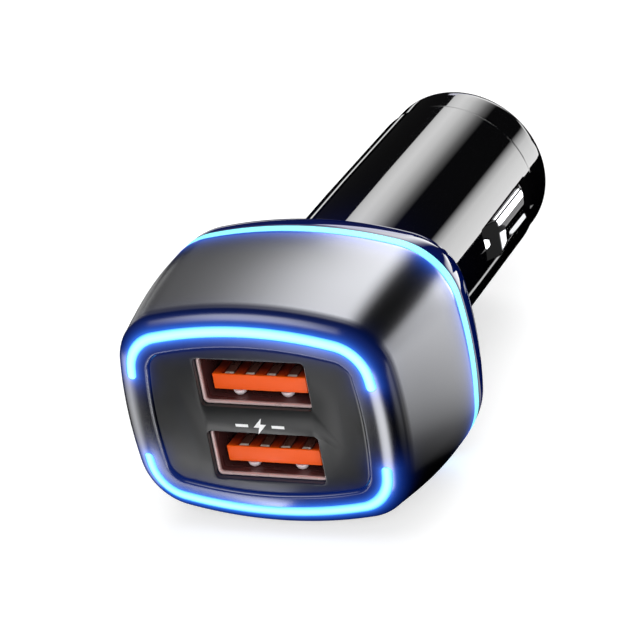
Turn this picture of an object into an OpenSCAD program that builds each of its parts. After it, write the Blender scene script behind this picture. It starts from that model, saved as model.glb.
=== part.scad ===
// Car USB charger plug: a metal head with two charging ports on a round plug body.
// +Y runs along the plug body to its tip, +X is to the right of the ports and +Z is up.
// The origin is on the plug body's axis, at the seating face where the body leaves the head.
// Depths called f are measured backwards from the front of the lip.
// Offsets called o are measured outwards from the line of the front light.

/* [Head outline] */
// Width across the front light line
light_w = 28.9; // [28:0.1:34]
// Height across the front light line
light_h = 21.9; // [21.6:0.1:27]
// Radius of the bowed sides at the light line
side_r = 47; // [42:1:70]
// Radius of the bowed top and bottom at the light line
top_r = 48.5; // [42:0.5:70]
// Radius of the corners at the light line
corner_r = 4.4; // [4:0.1:6]

/* [Metal shell] */
// Length of the head, from the front of the lip to the seating face
head_len = 24; // [22:0.2:30]
// Length of the cover behind the rear light ring
cover_len = 5.5; // [5.5:0.1:6.6]
// Wall of the metal shell
shell_wall = 1.5; // [1.2:0.1:1.8]
// Wall of the shell beside the front light guide
pocket_wall = 1.1; // [0.9:0.05:1.3]
// Distance from the light line in to the inner edge of the lip
lip_in = 2; // [1.8:0.05:2.2]
// Distance from the light line out to the end of the lip's rounding
lip_out = 2.1; // [1.9:0.05:2.3]
// Depth of the lip's rounding
lip_round = 2.2; // [2:0.1:2.6]
// Thickness of the lip
lip_t = 1.6; // [1.4:0.1:1.8]
// Distance from the light line out to the widest part of the shell
swell = 3.4; // [3.2:0.05:3.8]
// Distance from the widest part of the shell to its back edge
swell_back = 2.6; // [2:0.1:3.2]

/* [Lights] */
// Width of the front light strip
strip_w = 1.2; // [0.9:0.05:1.3]
// Height above and below the middle at which the front light strip ends
strip_end_z = 5.2; // [4:0.1:6]
// Thickness of the front light guide behind the lip
guide_t = 1.4; // [1.1:0.1:1.6]
// Width of the rear light ring
rear_ring_w = 1.4; // [1.2:0.1:1.8]
// Width of the light guides' legs
leg_w = 2; // [1.4:0.1:2.6]
// Thickness of the light guides' legs
leg_t = 1.3; // [1:0.1:1.4]

/* [Face panel] */
// Depth of the panel's face behind the front of the lip
panel_recess = 0.34; // [0.3:0.02:0.6]
// Thickness of the panel
panel_t = 1.6; // [1.4:0.1:1.7]
// Wall of the panel's collar
collar_t = 1.1; // [0.9:0.1:1.3]
// Thickness of the panel's flange
flange_t = 1.2; // [0.9:0.1:1.6]
// Width of the bevel around each port
bevel_w = 0.12; // [0.06:0.02:0.2]

/* [Ports] */
// Distance between the middles of the two ports
port_pitch = 8.9; // [8.4:0.05:9.4]
// Width inside the port's metal shell
port_w = 12.5; // [12.3:0.05:12.7]
// Height inside the port's metal shell
port_h = 5.1; // [5:0.02:5.3]
// Thickness of the port shell's sheet
port_sheet = 0.3; // [0.25:0.05:0.35]
// Depth of the port shell's front edge behind the panel's face
port_recess = 0.65; // [0.4:0.05:0.9]
// Width of the tongue
tongue_w = 11.1; // [10.8:0.05:11.3]
// Thickness of the tongue
tongue_t = 1.85; // [1.5:0.05:1.9]
// Gap between the tongue and the shell's floor
tongue_gap = 0.85; // [0.7:0.05:1]
// Depth of the tongue's front behind the panel's face
tongue_recess = 1.8; // [1.4:0.1:2.5]
// Length of the block that holds the contacts at the back of the port
block_len = 3.4; // [2.4:0.1:4]
// Distance between neighbouring contacts
contact_pitch = 2.5; // [2.4:0.02:2.6]
// Width of each contact
contact_w = 1; // [0.8:0.05:1.2]
// Thickness of each contact
contact_t = 0.25; // [0.2:0.05:0.3]
// Width of the channel that each contact lies in
channel_w = 1.5; // [1.3:0.05:1.6]
// Depth of the channel that each contact lies in
channel_depth = 0.35; // [0.3:0.05:0.5]

/* [Plug body] */
// Radius of the straight part of the plug body, next to the head
barrel_r = 10.45; // [10.3:0.01:10.6]
// Radius of the plug body at its far end
barrel_tip_r = 10.25; // [10.1:0.01:10.3]
// Distance from the end of the straight part to the side contacts
seat_gap = 2.2; // [1.6:0.1:4]
// Length of the plug body, from the seating face to the nose cap
barrel_len = 32.8; // [32.4:0.2:38]
// Wall of the plug body
barrel_wall = 1.7; // [1.4:0.05:1.8]
// Depth of the rounding at the back of the head
back_round = 5.4; // [4.8:0.1:5.4]
// Distance from the light line in to the flat back of the head
back_in = 0.8; // [0.4:0.1:0.9]
// Thickness of the wall behind the boards, at the back of the head
back_wall = 2.5; // [1.6:0.1:2.8]
// Thickness of the skirt inside the metal shell
skirt_t = 1.4; // [1.1:0.1:1.6]
// Length of the skirt in front of the rear light ring
skirt_len = 5; // [4.5:0.1:6]
// Length of the hooks that hold the metal shell
snap_len = 1.8; // [1.2:0.1:2.2]
// Width of the hooks that hold the metal shell
snap_w = 3; // [2:0.1:4]
// Height of the hooks that hold the metal shell
snap_h = 0.65; // [0.5:0.05:0.9]

/* [Nose] */
// Length of the nose cap past the plug body
nose_len = 6.2; // [5.8:0.1:8]
// Radius of the nose cap at its root
nose_r = 10; // [9.7:0.05:10.2]
// Radius of the nose cap's flat end
nose_face_r = 7; // [6.6:0.1:7.6]
// Thickness of the nose cap's end
nose_t = 2.5; // [2:0.1:3]
// Length of the nose cap's sleeve inside the plug body
sleeve_len = 4.6; // [3.6:0.1:5]
// Wall of the nose cap's sleeve
sleeve_t = 1.3; // [1:0.05:1.5]
// Length of the rounding at the end of the nose cap
nose_round_len = 2.4; // [2:0.1:3]
// Radius of the tip contact
pin_r = 3.4; // [3.1:0.05:3.7]
// Length of the tip contact past the nose cap
pin_out = 3.8; // [3.4:0.1:4.4]
// Travel of the tip contact
pin_travel = 2.5; // [1.5:0.1:2.8]
// Radius of the tip contact's flange
pin_flange_r = 4.9; // [4.6:0.05:5.2]
// Thickness of the tip contact's flange
pin_flange_t = 1.2; // [0.9:0.1:1.4]
// Rounding of the tip contact's end
pin_end_r = 1.4; // [1:0.1:2]
// Depth of the spring's pocket in the tip contact
pin_pocket_len = 2.8; // [2:0.1:3.4]
// Radius of the tip spring's coil, to the middle of its wire
tip_coil_r = 2.1; // [1.8:0.05:2.2]
// Radius of the tip spring's wire
tip_wire_r = 0.3; // [0.2:0.02:0.34]
// Turns of the tip spring
tip_turns = 8; // [6:1:10]
// Radius of the terminal under the tip spring
terminal_r = 3.3; // [2.8:0.1:3.6]
// Thickness of the terminal under the tip spring
terminal_t = 0.8; // [0.6:0.1:1]

/* [Side contacts] */
// Distance from the side contacts to the end of the plug body
side_back = 2; // [1.6:0.1:2.4]
// Length of the side contacts
side_len = 13.6; // [12.6:0.1:13.8]
// Width of the side contacts
side_w = 4.5; // [4:0.1:4.8]
// Distance from the axis to the crest of the side contacts
side_crest = 11.5; // [11.3:0.02:11.6]
// Length of the sloping ends of the side contacts
side_ramp = 3.8; // [3:0.1:4.2]
// Travel of the side contacts
side_travel = 1.3; // [1.2:0.02:1.4]
// Radius of the rounding across the side contacts
side_round_r = 4; // [3.4:0.1:8]
// Width of the retaining edge on each side of the side contacts
side_flange = 0.9; // [0.7:0.05:1]
// Distance from the axis to the inner face of the side contacts
shoe_in_x = 7.2; // [7:0.1:7.4]
// Distance from the axis to the seat of the side springs in the contacts
shoe_pocket_x = 9; // [8.6:0.1:9.2]
// Distance from the axis to the ends of the side contacts' slopes
shoe_root_x = 9.2; // [9:0.1:9.4]
// Radius of the side springs' coils, to the middle of their wire
side_coil_r = 1.5; // [1.3:0.05:1.6]
// Radius of the side springs' wire
side_wire_r = 0.2; // [0.14:0.02:0.22]
// Turns of the side springs
side_turns = 5; // [4:1:6]

/* [Boards] */
// Thickness of the circuit boards
board_t = 1.2; // [1:0.1:1.6]
// Length of the space behind the port board
bay_len = 7.1; // [6.8:0.1:7.6]
// Width of the main board inside the head
board_head_w = 25.2; // [24.8:0.2:25.4]
// Width of the main board inside the plug body
board_barrel_w = 14.4; // [12:0.2:15]
// Width of the main board between the side contacts
board_neck_w = 8.6; // [7.6:0.1:8.8]
// Distance from the end of the main board to the end of the plug body
board_back = 5.8; // [5.6:0.1:6.2]
// Distance from the start of the main board's narrow part to the side contacts
board_neck_gap = 3.2; // [2.2:0.2:4.2]
// Thickness of the bracket that links the side contacts
bracket_t = 0.5; // [0.4:0.05:0.6]
// Width of the bracket that links the side contacts
bracket_w = 3.4; // [3:0.1:4]

/* [Components] */
// Radius of the inductor's ferrite bobbin
core_r = 3.8; // [3.2:0.1:4]
// Height of the inductor
core_h = 6; // [5:0.1:6.4]
// Radius of the bobbin's hub
hub_r = 2; // [1.6:0.1:2.2]
// Thickness of the bobbin's ends
core_end_t = 0.9; // [0.7:0.1:1.1]
// Diameter of the copper wire
wire_d = 0.7; // [0.5:0.05:0.8]
// Radius of the input capacitor
input_cap_r = 3.15; // [2.5:0.05:3.3]
// Length of the input capacitor
input_cap_len = 11; // [9:0.5:11.5]
// Radius of the output capacitor
output_cap_r = 2.9; // [2.4:0.05:3]
// Distance of the output capacitor from the middle of the board
output_cap_x = 5.6; // [4.8:0.1:6.4]
// Height of the output capacitor
output_cap_h = 6.5; // [5:0.1:7.5]
// Width of the converter chip
converter_w = 3.9; // [3.4:0.1:5]
// Length of the converter chip
converter_len = 4.9; // [4.4:0.1:5.4]
// Height of the converter chip
converter_h = 1.5; // [1.1:0.1:1.8]
// Width of the port chip
port_chip_w = 1.6; // [1.4:0.1:2]
// Length of the port chip
port_chip_len = 2.9; // [2.6:0.1:3.2]
// Height of the port chip
port_chip_h = 1.1; // [0.9:0.1:1.3]
// Width of the diode
diode_w = 2.6; // [2.2:0.1:3.2]
// Length of the diode
diode_len = 4.3; // [3.8:0.1:4.6]
// Height of the diode
diode_h = 2.1; // [1.8:0.1:2.6]
// Width of the small resistors and capacitors
passive_w = 1.3; // [1:0.1:1.5]
// Length of the small resistors and capacitors
passive_len = 2; // [1.6:0.1:2.2]
// Height of the small resistors and capacitors
passive_h = 0.8; // [0.5:0.1:1]

/* [Hidden] */

$fn = 96;
eps = 0.01;

// Clearances
fit_gap = 0.1;
slide_gap = 0.08;
port_gap = 0.05;
skirt_gap = 0.35;
slot_gap = 0.15;
end_gap = 0.3;

edge_gap = 0.18;
ring_gap = 0.08;
bore_play = 0.05;

// Height and length of the lamps
led_t = 0.8;
led_len = 1.2;

// Places along the head
cover_f = head_len - cover_len;
shell_len = cover_f - rear_ring_w;
swell_f = shell_len - swell_back;
guide_f = lip_t;
flange_f = guide_f + guide_t;
flange_back_f = flange_f + flange_t;
skirt_f = shell_len - skirt_len;
back_wall_f = head_len - back_wall;
port_board_back_f = back_wall_f - bay_len;
port_board_f = port_board_back_f - board_t;
port_front_f = panel_recess + port_recess;
tongue_f = panel_recess + tongue_recess;
panel_back_f = panel_recess + panel_t;
leg_end_f = port_board_f - led_t - fit_gap;

// Places along the plug body
nose_f = head_len + barrel_len;
nose_end_f = nose_f + nose_len;
side_y = barrel_len - side_back - side_len;
side_mid_y = side_y + side_len / 2;
shoe_f = head_len + side_y;
shoe_mid_f = head_len + side_mid_y;
seat_f = shoe_f - seat_gap;
board_end_f = nose_f - board_back;
board_neck_f = shoe_f - board_neck_gap;
spring_f = board_end_f + terminal_t;
pin_flange_f = nose_end_f - nose_t - pin_flange_t;
pin_pocket_f = pin_flange_f + pin_pocket_len;
pin_end_f = nose_end_f + pin_out;

// Offsets around the head
lip_flat = 0.6;
lip_edge = 0.25;
pocket_o = lip_out - pocket_wall;
skirt_o = swell - shell_wall - skirt_gap;
skirt_in_o = skirt_o - skirt_t;
ring_o = swell - ring_gap;
cover_o = swell - edge_gap;
back_o = -back_in;
ring_root = 0.3;
panel_o = -lip_in - fit_gap;

// Radii and distances from the axis
neck_step = 0.6;
neck_r = barrel_r - neck_step;
bore_r = barrel_r - barrel_wall;
ear_x = board_neck_w / 2 + end_gap + bracket_t;
board_top = board_t / 2;
rear_leg_z = board_top + led_t / 2;
rear_leg_x = board_head_w / 2 + fit_gap;
tab_x = 8.2;
tab_w = 3;

// Corner arc: where a circle touches both the side arc and the top arc
half_w = light_w / 2;
half_h = light_h / 2;
leg_x = half_w - lip_in + leg_t / 2 + end_gap;
side_c = [half_w - side_r, 0];
top_c = [0, half_h - top_r];
side_d = side_r - corner_r;
top_d = top_r - corner_r;
centre_d = norm(top_c - side_c);
along = (side_d * side_d - top_d * top_d + centre_d * centre_d) / (2 * centre_d);
across = sqrt(side_d * side_d - along * along);
centre_dir = (top_c - side_c) / centre_d;
corner_c = side_c + along * centre_dir + across * [-centre_dir[1], centre_dir[0]];
side_turn = atan2(corner_c[1], corner_c[0] - side_c[0]);
top_turn = atan2(corner_c[1] - top_c[1], corner_c[0]);

// Directions of the outline's points in one quarter
bow_steps = 3;
corner_steps = 7;
quarter = concat(
    [for (i = [0 : bow_steps - 1]) side_turn * i / bow_steps],
    [for (i = [0 : corner_steps]) side_turn + (top_turn - side_turn) * i / corner_steps],
    [for (i = [1 : bow_steps]) top_turn + (90 - top_turn) * i / bow_steps]
);
last = len(quarter) - 1;

// Arc that a direction belongs to, as its centre and radius
function arc_c(q) = q < side_turn ? side_c : q <= top_turn ? corner_c : top_c;
function arc_r(q) = q < side_turn ? side_r : q <= top_turn ? corner_r : top_r;
function rim(q, o) = arc_c(q) + (arc_r(q) + o) * [cos(q), sin(q)];

// Whole outline at an offset from the light line, as [x, z] points
function outline(o) = concat(
    [for (i = [0 : last - 1]) rim(quarter[i], o)],
    [for (i = [last : -1 : 1]) let (p = rim(quarter[i], o)) [-p[0], p[1]]],
    [for (i = [0 : last - 1]) -rim(quarter[i], o)],
    [for (i = [last : -1 : 1]) let (p = rim(quarter[i], o)) [p[0], -p[1]]]
);

// Outer offset of the metal shell at a depth
function lip_o(t) = -lip_flat + (lip_out + lip_flat) * sin(t);
function lip_f(t) = lip_round * (1 - cos(t));
function swell_part(f) = min(1, (f - lip_round) / (swell_f - lip_round));
function shell_o(f) = lip_out + (swell - lip_out) * sin(90 * swell_part(f));

// Solid swept around the outline from a closed list of [f, o] points
module swept(profile) {
    n = len(outline(0));
    k = len(profile);
    points = [
        for (p = profile, q = outline(p[1])) [q[0], p[0] - head_len, q[1]]
    ];
    faces = [
        for (i = [0 : k - 1], j = [0 : n - 1])
            let (a = i * n, b = ((i + 1) % k) * n, j2 = (j + 1) % n)
            [a + j, b + j, b + j2, a + j2]
    ];
    polyhedron(points = points, faces = faces, convexity = 6);
}

// Solid with the outline at each [f, o] point and flat ends
module lofted(profile) {
    for (i = [0 : len(profile) - 2])
        hull()
            for (p = [profile[i], profile[i + 1]])
                slab(p[0] - eps, p[0]) polygon(outline(p[1]));
}

// Flat shape in x and z, extruded from depth f0 to depth f1
module slab(f0, f1) {
    translate([0, f1 - head_len, 0])
        rotate([90, 0, 0])
            linear_extrude(f1 - f0)
                children();
}

// Flat shape in x and y, extruded from height z0 to height z1
module sheet(z0, z1) {
    translate([0, 0, z0])
        linear_extrude(z1 - z0)
            children();
}

// Profile of [radius, f] points turned around the plug body's axis
module turned(profile) {
    translate([0, -head_len, 0])
        rotate([-90, 0, 0])
            rotate_extrude()
                polygon(profile);
}

// Round bar along the plug body's axis from depth f0 to depth f1
module bar(r, f0, f1, x = 0, z = 0) {
    translate([x, f0 - head_len, z])
        rotate([-90, 0, 0])
            cylinder(r = r, h = f1 - f0);
}

// Block given by its corners, with the depths f0 and f1 along the plug body
module block(x0, x1, f0, f1, z0, z1) {
    translate([x0, f0 - head_len, z0])
        cube([x1 - x0, f1 - f0, z1 - z0]);
}

// Coil spring from the plane z = 0 up to its height, with its end turns closed
module coil(coil_r, wire_r, height, turns) {
    steps = 20;
    sides = 6;
    n = steps * turns;
    rise = height - 2 * wire_r;
    closed = 1 / turns;
    function climb(t) = t < closed ? 0.15 * t / closed
        : t > 1 - closed ? 0.85 + 0.15 * (t - 1 + closed) / closed
        : 0.15 + 0.7 * (t - closed) / (1 - 2 * closed);
    points = [
        for (i = [0 : n], j = [0 : sides - 1])
            let (a = 360 * i / steps, b = 360 * j / sides, r = coil_r + wire_r * cos(b))
            [r * cos(a), r * sin(a), wire_r + rise * climb(i / n) + wire_r * sin(b)]
    ];
    walls = [
        for (i = [0 : n - 1], j = [0 : sides - 1])
            let (a = i * sides, b = (i + 1) * sides, j2 = (j + 1) % sides)
            [a + j, b + j, b + j2, a + j2]
    ];
    start = [for (j = [0 : sides - 1]) j];
    end = [for (j = [sides - 1 : -1 : 0]) n * sides + j];
    polyhedron(points = points, faces = concat(walls, [start, end]), convexity = 10);
}

// Shape of the two light strips, wider than their width by grow on each side
end_q = asin(strip_end_z / side_r);
function flip(p) = [-p[0], p[1]];
module strip_shape(grow) {
    r = strip_w / 2 + grow;
    right = concat([end_q], [for (q = quarter) if (q > end_q) q]);
    back = [len(right) - 2 : -1 : 0];
    outer = concat([for (q = right) rim(q, r)], [for (i = back) flip(rim(right[i], r))]);
    inner = concat([for (q = right) rim(q, -r)], [for (i = back) flip(rim(right[i], -r))]);
    end = rim(end_q, 0);
    for (sz = [-1, 1])
        scale([1, sz])
            polygon(concat(outer, [for (i = [len(inner) - 1 : -1 : 0]) inner[i]]));
    for (sx = [-1, 1], sz = [-1, 1])
        translate([sx * end[0], sz * end[1]])
            circle(r = r, $fn = 16);
}
// Eight hooks around the outline at depth f, from offset o0 to offset o1
snap_q = [4.3, 84];
module snaps(f, o0, o1, grow) {
    for (sx = [-1, 1], sz = [-1, 1], q = snap_q)
        hull()
            for (end = [[o0, 1], [o1, 0.6]]) {
                p = rim(q, end[0]);
                translate([sx * p[0], f - head_len, sz * p[1]])
                    rotate([0, -atan2(sz * sin(q), sx * cos(q)), 0])
                        cube(
                            [eps, snap_len * end[1] + 2 * grow, snap_w * end[1] + 2 * grow],
                            center = true
                        );
            }
}

// Rounded rectangle made of bars and circles
module rounded(w, h, r) {
    square([w - 2 * r, h], center = true);
    square([w, h - 2 * r], center = true);
    for (sx = [-1, 1], sz = [-1, 1])
        translate([sx * (w / 2 - r), sz * (h / 2 - r)])
            circle(r = r, $fn = 32);
}

// Metal shell of the head, with its lip and the slots for the light strips
lip_steps = 7;
swell_steps = 6;
module head_shell() {
    front = [for (i = [0 : lip_steps]) let (t = 90 * i / lip_steps) [lip_f(t), lip_o(t)]];
    side = [
        for (i = [1 : swell_steps])
            let (f = lip_round + (swell_f - lip_round) * i / swell_steps)
            [f, shell_o(f)]
    ];
    inside_end_f = flange_back_f + end_gap;
    inside_f = [shell_len, swell_f, (swell_f + inside_end_f) / 2, inside_end_f];
    inside = [
        for (f = inside_f) [f, f > inside_end_f ? max(pocket_o, shell_o(f) - shell_wall) : pocket_o]
    ];
    profile = concat(
        [[lip_edge, -lip_in], [0, -lip_in + lip_edge]],
        front,
        side,
        [[shell_len - lip_edge, swell], [shell_len, swell - lip_edge]],
        inside,
        [[lip_t, pocket_o], [lip_t, -lip_in]]
    );
    color("#4c4f54")
        difference() {
            swept(profile);
            slab(-1, lip_t + 1) strip_shape(fit_gap / 2);
            snaps(swell_f, skirt_o, skirt_o + snap_h + fit_gap, fit_gap);
        }
}

// Rounded opening from depth f0 to depth f1, growing by flare towards f0
module opening(w, h, f0, f1, flare = 0) {
    r = 0.5;
    hull()
        for (sx = [-1, 1], sz = [-1, 1], end = [0, 1]) {
            grow = end == 0 ? flare : 0;
            f = end == 0 ? f0 : f1 - eps;
            bar(r + grow, f, f + eps, sx * (w / 2 - r), sz * (h / 2 - r), $fn = 24);
        }
}

// Panel around the two ports, with a collar and a flange behind the light guide
module face_panel() {
    inner_o = panel_o - collar_t;
    hole_w = port_w + 2 * port_sheet + 2 * port_gap;
    hole_h = port_h + 2 * port_sheet + 2 * port_gap;
    color("#2e2f31")
        difference() {
            union() {
                slab(panel_recess, panel_back_f) polygon(outline(panel_o));
                slab(panel_back_f - eps, flange_f + eps)
                    difference() {
                        polygon(outline(panel_o));
                        polygon(outline(inner_o));
                    }
                slab(flange_f, flange_back_f)
                    difference() {
                        polygon(outline(pocket_o - fit_gap));
                        polygon(outline(inner_o));
                    }
            }
            for (s = [-1, 1]) {
                translate([0, 0, s * port_pitch / 2]) {
                    opening(hole_w, hole_h, panel_recess - 1, flange_back_f + 1);
                    opening(hole_w, hole_h, panel_recess - eps, panel_recess + bevel_w, bevel_w);
                    opening(hole_w, hole_h, panel_recess - 1, panel_recess, bevel_w);
                }
                translate([s * leg_x, 0, 0])
                    opening(
                        leg_t + 4 * fit_gap, leg_w + 4 * fit_gap,
                        guide_f, flange_back_f + 1
                    );
            }
        }
}

// Clear guide behind the lip, with two strips that show and two legs to the lamps
strip_f = 0.1;
module front_light_guide() {
    color("#9ff4ff")
        union() {
            slab(guide_f, flange_f)
                difference() {
                    polygon(outline(pocket_o - fit_gap));
                    polygon(outline(-lip_in));
                }
            slab(strip_f, guide_f + eps) strip_shape(0);
            for (s = [-1, 1])
                slab(flange_f - guide_t / 2, leg_end_f)
                    translate([s * leg_x, 0])
                        square([leg_t, leg_w], center = true);
        }
}

// Clear ring between the metal shell and the rear cover, with two inner tabs
module rear_light_guide() {
    inner_o = skirt_o + fit_gap;
    tab_end_x = half_w + inner_o + ring_root;
    color("#7fb8ff")
        slab(shell_len, cover_f) {
            difference() {
                polygon(outline(ring_o));
                polygon(outline(inner_o));
            }
            for (s = [-1, 1])
                translate([s * (rear_leg_x + tab_end_x) / 2, rear_leg_z])
                    square([tab_end_x - rear_leg_x, led_t], center = true);
        }
}

// Cover behind the rear light ring, with a skirt inside the metal shell
back_steps = 8;
module rear_cover() {
    round_f = head_len - back_round;
    cover = concat(
        [[cover_f + eps, cover_o]],
        [
            for (i = [0 : back_steps])
                let (t = 90 * i / back_steps)
                [round_f + back_round * sin(t), back_o + (cover_o - back_o) * cos(t)]
        ]
    );
    window = led_t / 2 + fit_gap;
    color("#0c0c0e")
        difference() {
            union() {
                lofted(cover);
                slab(skirt_f, round_f) polygon(outline(skirt_o));
                snaps(swell_f, skirt_o - skirt_t / 2, skirt_o + snap_h, 0);
            }
            slab(skirt_f - 1, back_wall_f) polygon(outline(skirt_in_o));
            bar(neck_r + port_gap, back_wall_f - 1, head_len + 1);
            block(
                -half_w - swell, half_w + swell,
                skirt_f - 1, cover_f, rear_leg_z - window, rear_leg_z + window
            );
        }
}

// Round plug body, with a neck in the rear cover and slots for the side contacts
module barrel() {
    slot_w = side_w + 2 * slot_gap;
    color("#0c0c0e")
        difference() {
            turned([
                [bore_r, back_wall_f], [neck_r, back_wall_f], [neck_r, head_len],
                [barrel_r, head_len], [barrel_r, seat_f], [barrel_tip_r, nose_f],
                [bore_r, nose_f]
            ]);
            block(
                -side_crest - 1, side_crest + 1,
                shoe_f - end_gap, shoe_f + side_len + end_gap, -slot_w / 2, slot_w / 2
            );
        }
}

// Nose cap: rounded end with the hole for the tip contact, and a sleeve in the barrel
module nose_cap() {
    sleeve_r = bore_r - fit_gap;
    round_r = nose_r - nose_face_r;
    chamber_r = pin_flange_r + slide_gap;
    chamber_f = pin_flange_f - pin_travel - end_gap;
    rounding = [
        for (t = [0 : 15 : 90])
            [nose_face_r + round_r * cos(t), nose_end_f - nose_round_len + nose_round_len * sin(t)]
    ];
    notch_w = side_w + 2 * side_flange + 2 * end_gap;
    color("#101012")
        difference() {
            turned(concat(
                [
                    [pin_r + slide_gap, nose_end_f - nose_t], [chamber_r, nose_end_f - nose_t],
                    [chamber_r, chamber_f], [sleeve_r - sleeve_t, chamber_f - 1],
                    [sleeve_r - sleeve_t, nose_f - sleeve_len], [sleeve_r, nose_f - sleeve_len],
                    [sleeve_r, nose_f], [nose_r, nose_f]
                ],
                rounding,
                [[pin_r + slide_gap, nose_end_f]]
            ));
            block(
                -barrel_r, barrel_r, nose_f - sleeve_len - 1,
                shoe_f + side_len + end_gap, -notch_w / 2, notch_w / 2
            );
        }
}

// Tip contact: round-ended metal pin with a flange and a pocket for its spring
module tip_contact() {
    pocket_r = tip_coil_r + tip_wire_r + fit_gap;
    rounding = [
        for (t = [0 : 15 : 90])
            [pin_r - pin_end_r + pin_end_r * cos(t), pin_end_f - pin_end_r + pin_end_r * sin(t)]
    ];
    color("#c9ccd0")
        turned(concat(
            [
                [0, pin_pocket_f], [pocket_r, pin_pocket_f], [pocket_r, pin_flange_f],
                [pin_flange_r, pin_flange_f], [pin_flange_r, pin_flange_f + pin_flange_t],
                [pin_r, pin_flange_f + pin_flange_t]
            ],
            rounding,
            [[0, pin_end_f]]
        ));
}

// Spring between the terminal on the main board and the tip contact
module tip_spring() {
    color("#b9bcc0")
        translate([0, spring_f - head_len, 0])
            rotate([-90, 0, 0])
                coil(tip_coil_r, tip_wire_r, pin_pocket_f - spring_f, tip_turns);
}

// Terminal on the end of the main board, with a boss inside the tip spring
module tip_terminal() {
    boss_r = tip_coil_r - tip_wire_r - fit_gap;
    boss_len = tip_coil_r / 2;
    prong_len = 1;
    prong_w = terminal_r * 0.75;
    color("#d9b45a")
        union() {
            bar(terminal_r, board_end_f, spring_f);
            bar(boss_r, board_end_f, spring_f + boss_len);
            for (s = [-1, 1]) {
                z = s * (board_top + bracket_t / 2);
                block(
                    -prong_w / 2, prong_w / 2, board_end_f - prong_len, board_end_f + eps,
                    z - bracket_t / 2, z + bracket_t / 2
                );
            }
        }
}

// Side contact on the right: a sloped and rounded shoe with retaining edges
module side_contact() {
    y0 = side_y;
    y1 = side_y + side_len;
    ridge_x = side_crest - side_round_r;
    crest_drop = 0.5;
    crest_run = 0.9;
    dimple_r = 0.5;
    dimple_x = 0.35;
    crest = [[crest_drop, -crest_run], [crest_drop / 5, 0], [0, crest_run]];
    difference() {
        union() {
            intersection() {
                sheet(-side_w / 2, side_w / 2)
                    polygon(concat(
                        [[shoe_in_x, y0], [shoe_root_x, y0]],
                        [for (p = crest) [side_crest - p[0], y0 + side_ramp + p[1]]],
                        [for (i = [2 : -1 : 0]) [side_crest - crest[i][0], y1 - side_ramp - crest[i][1]]],
                        [[shoe_root_x, y1], [shoe_in_x, y1]]
                    ));
                union() {
                    translate([ridge_x, y0 - 1, 0])
                        rotate([-90, 0, 0])
                            cylinder(r = side_round_r, h = side_len + 2);
                    translate([0, y0 - 1, -side_w])
                        cube([ridge_x, side_len + 2, 2 * side_w]);
                }
            }
            intersection() {
                translate([0, y0, 0])
                    rotate([-90, 0, 0])
                        cylinder(r = bore_r - bore_play, h = side_len);
                translate([shoe_in_x, y0, -side_w / 2 - side_flange])
                    cube([barrel_r, side_len, side_w + 2 * side_flange]);
            }
        }
        translate([shoe_in_x - 1, side_mid_y, 0])
            rotate([0, 90, 0])
                cylinder(r = side_coil_r + side_wire_r + fit_gap, h = shoe_pocket_x - shoe_in_x + 1);
        translate([side_crest - dimple_x, y0 + side_ramp / 2, 0])
            sphere(r = dimple_r, $fn = 32);
    }
}

module side_contact_left() {
    color("#dfe1e4") mirror([1, 0, 0]) side_contact();
}

module side_contact_right() {
    color("#dfe1e4") side_contact();
}

// Spring behind a side contact, seated on the bracket's ear
module side_spring(s) {
    color("#b9bcc0")
        translate([s * ear_x, side_mid_y, 0])
            rotate([0, s * 90, 0])
                coil(side_coil_r, side_wire_r, shoe_pocket_x - ear_x, side_turns);
}

module side_spring_left() {
    side_spring(-1);
}

module side_spring_right() {
    side_spring(1);
}

// Bracket under the main board with an ear and a spring boss on each side
module ground_bracket() {
    ear_z = side_coil_r + side_wire_r + 2 * fit_gap;
    boss_r = side_coil_r - side_wire_r - fit_gap;
    boss_len = shoe_in_x - side_travel - ear_x - end_gap;
    color("#c8b27a")
        union() {
            block(
                -ear_x, ear_x, shoe_mid_f - bracket_w / 2, shoe_mid_f + bracket_w / 2,
                -board_top - bracket_t, -board_top
            );
            for (s = [-1, 1]) {
                x = s * (ear_x - bracket_t / 2);
                block(
                    x - bracket_t / 2, x + bracket_t / 2,
                    shoe_mid_f - bracket_w / 2, shoe_mid_f + bracket_w / 2, -ear_z, ear_z
                );
                translate([s * ear_x, side_mid_y, 0])
                    rotate([0, s * 90, 0])
                        translate([0, 0, -eps])
                            cylinder(r = boss_r, h = boss_len + eps);
            }
        }
}

// Board that carries the ports, across the head
module port_board() {
    color("#1d5c34")
        difference() {
            slab(port_board_f, port_board_back_f) polygon(outline(skirt_in_o - fit_gap));
            slab(port_board_f - 1, port_board_back_f + 1)
                for (s = [-1, 1])
                    translate([s * tab_x, 0])
                        square([tab_w + 2 * fit_gap, board_t + 2 * fit_gap], center = true);
        }
}

// Long board with its tabs in the port board, narrow between the side contacts
module main_board() {
    wide_end_f = back_wall_f - end_gap;
    color("#1d5c34")
        union() {
            block(
                -board_head_w / 2, board_head_w / 2, port_board_back_f, wide_end_f,
                -board_t / 2, board_t / 2
            );
            block(
                -board_barrel_w / 2, board_barrel_w / 2, wide_end_f - eps, board_neck_f,
                -board_t / 2, board_t / 2
            );
            block(
                -board_neck_w / 2, board_neck_w / 2, board_neck_f - eps, board_end_f,
                -board_t / 2, board_t / 2
            );
            for (s = [-1, 1])
                block(
                    s * tab_x - tab_w / 2, s * tab_x + tab_w / 2, port_board_f,
                    port_board_back_f + eps, -board_t / 2, board_t / 2
                );
        }
}

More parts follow.
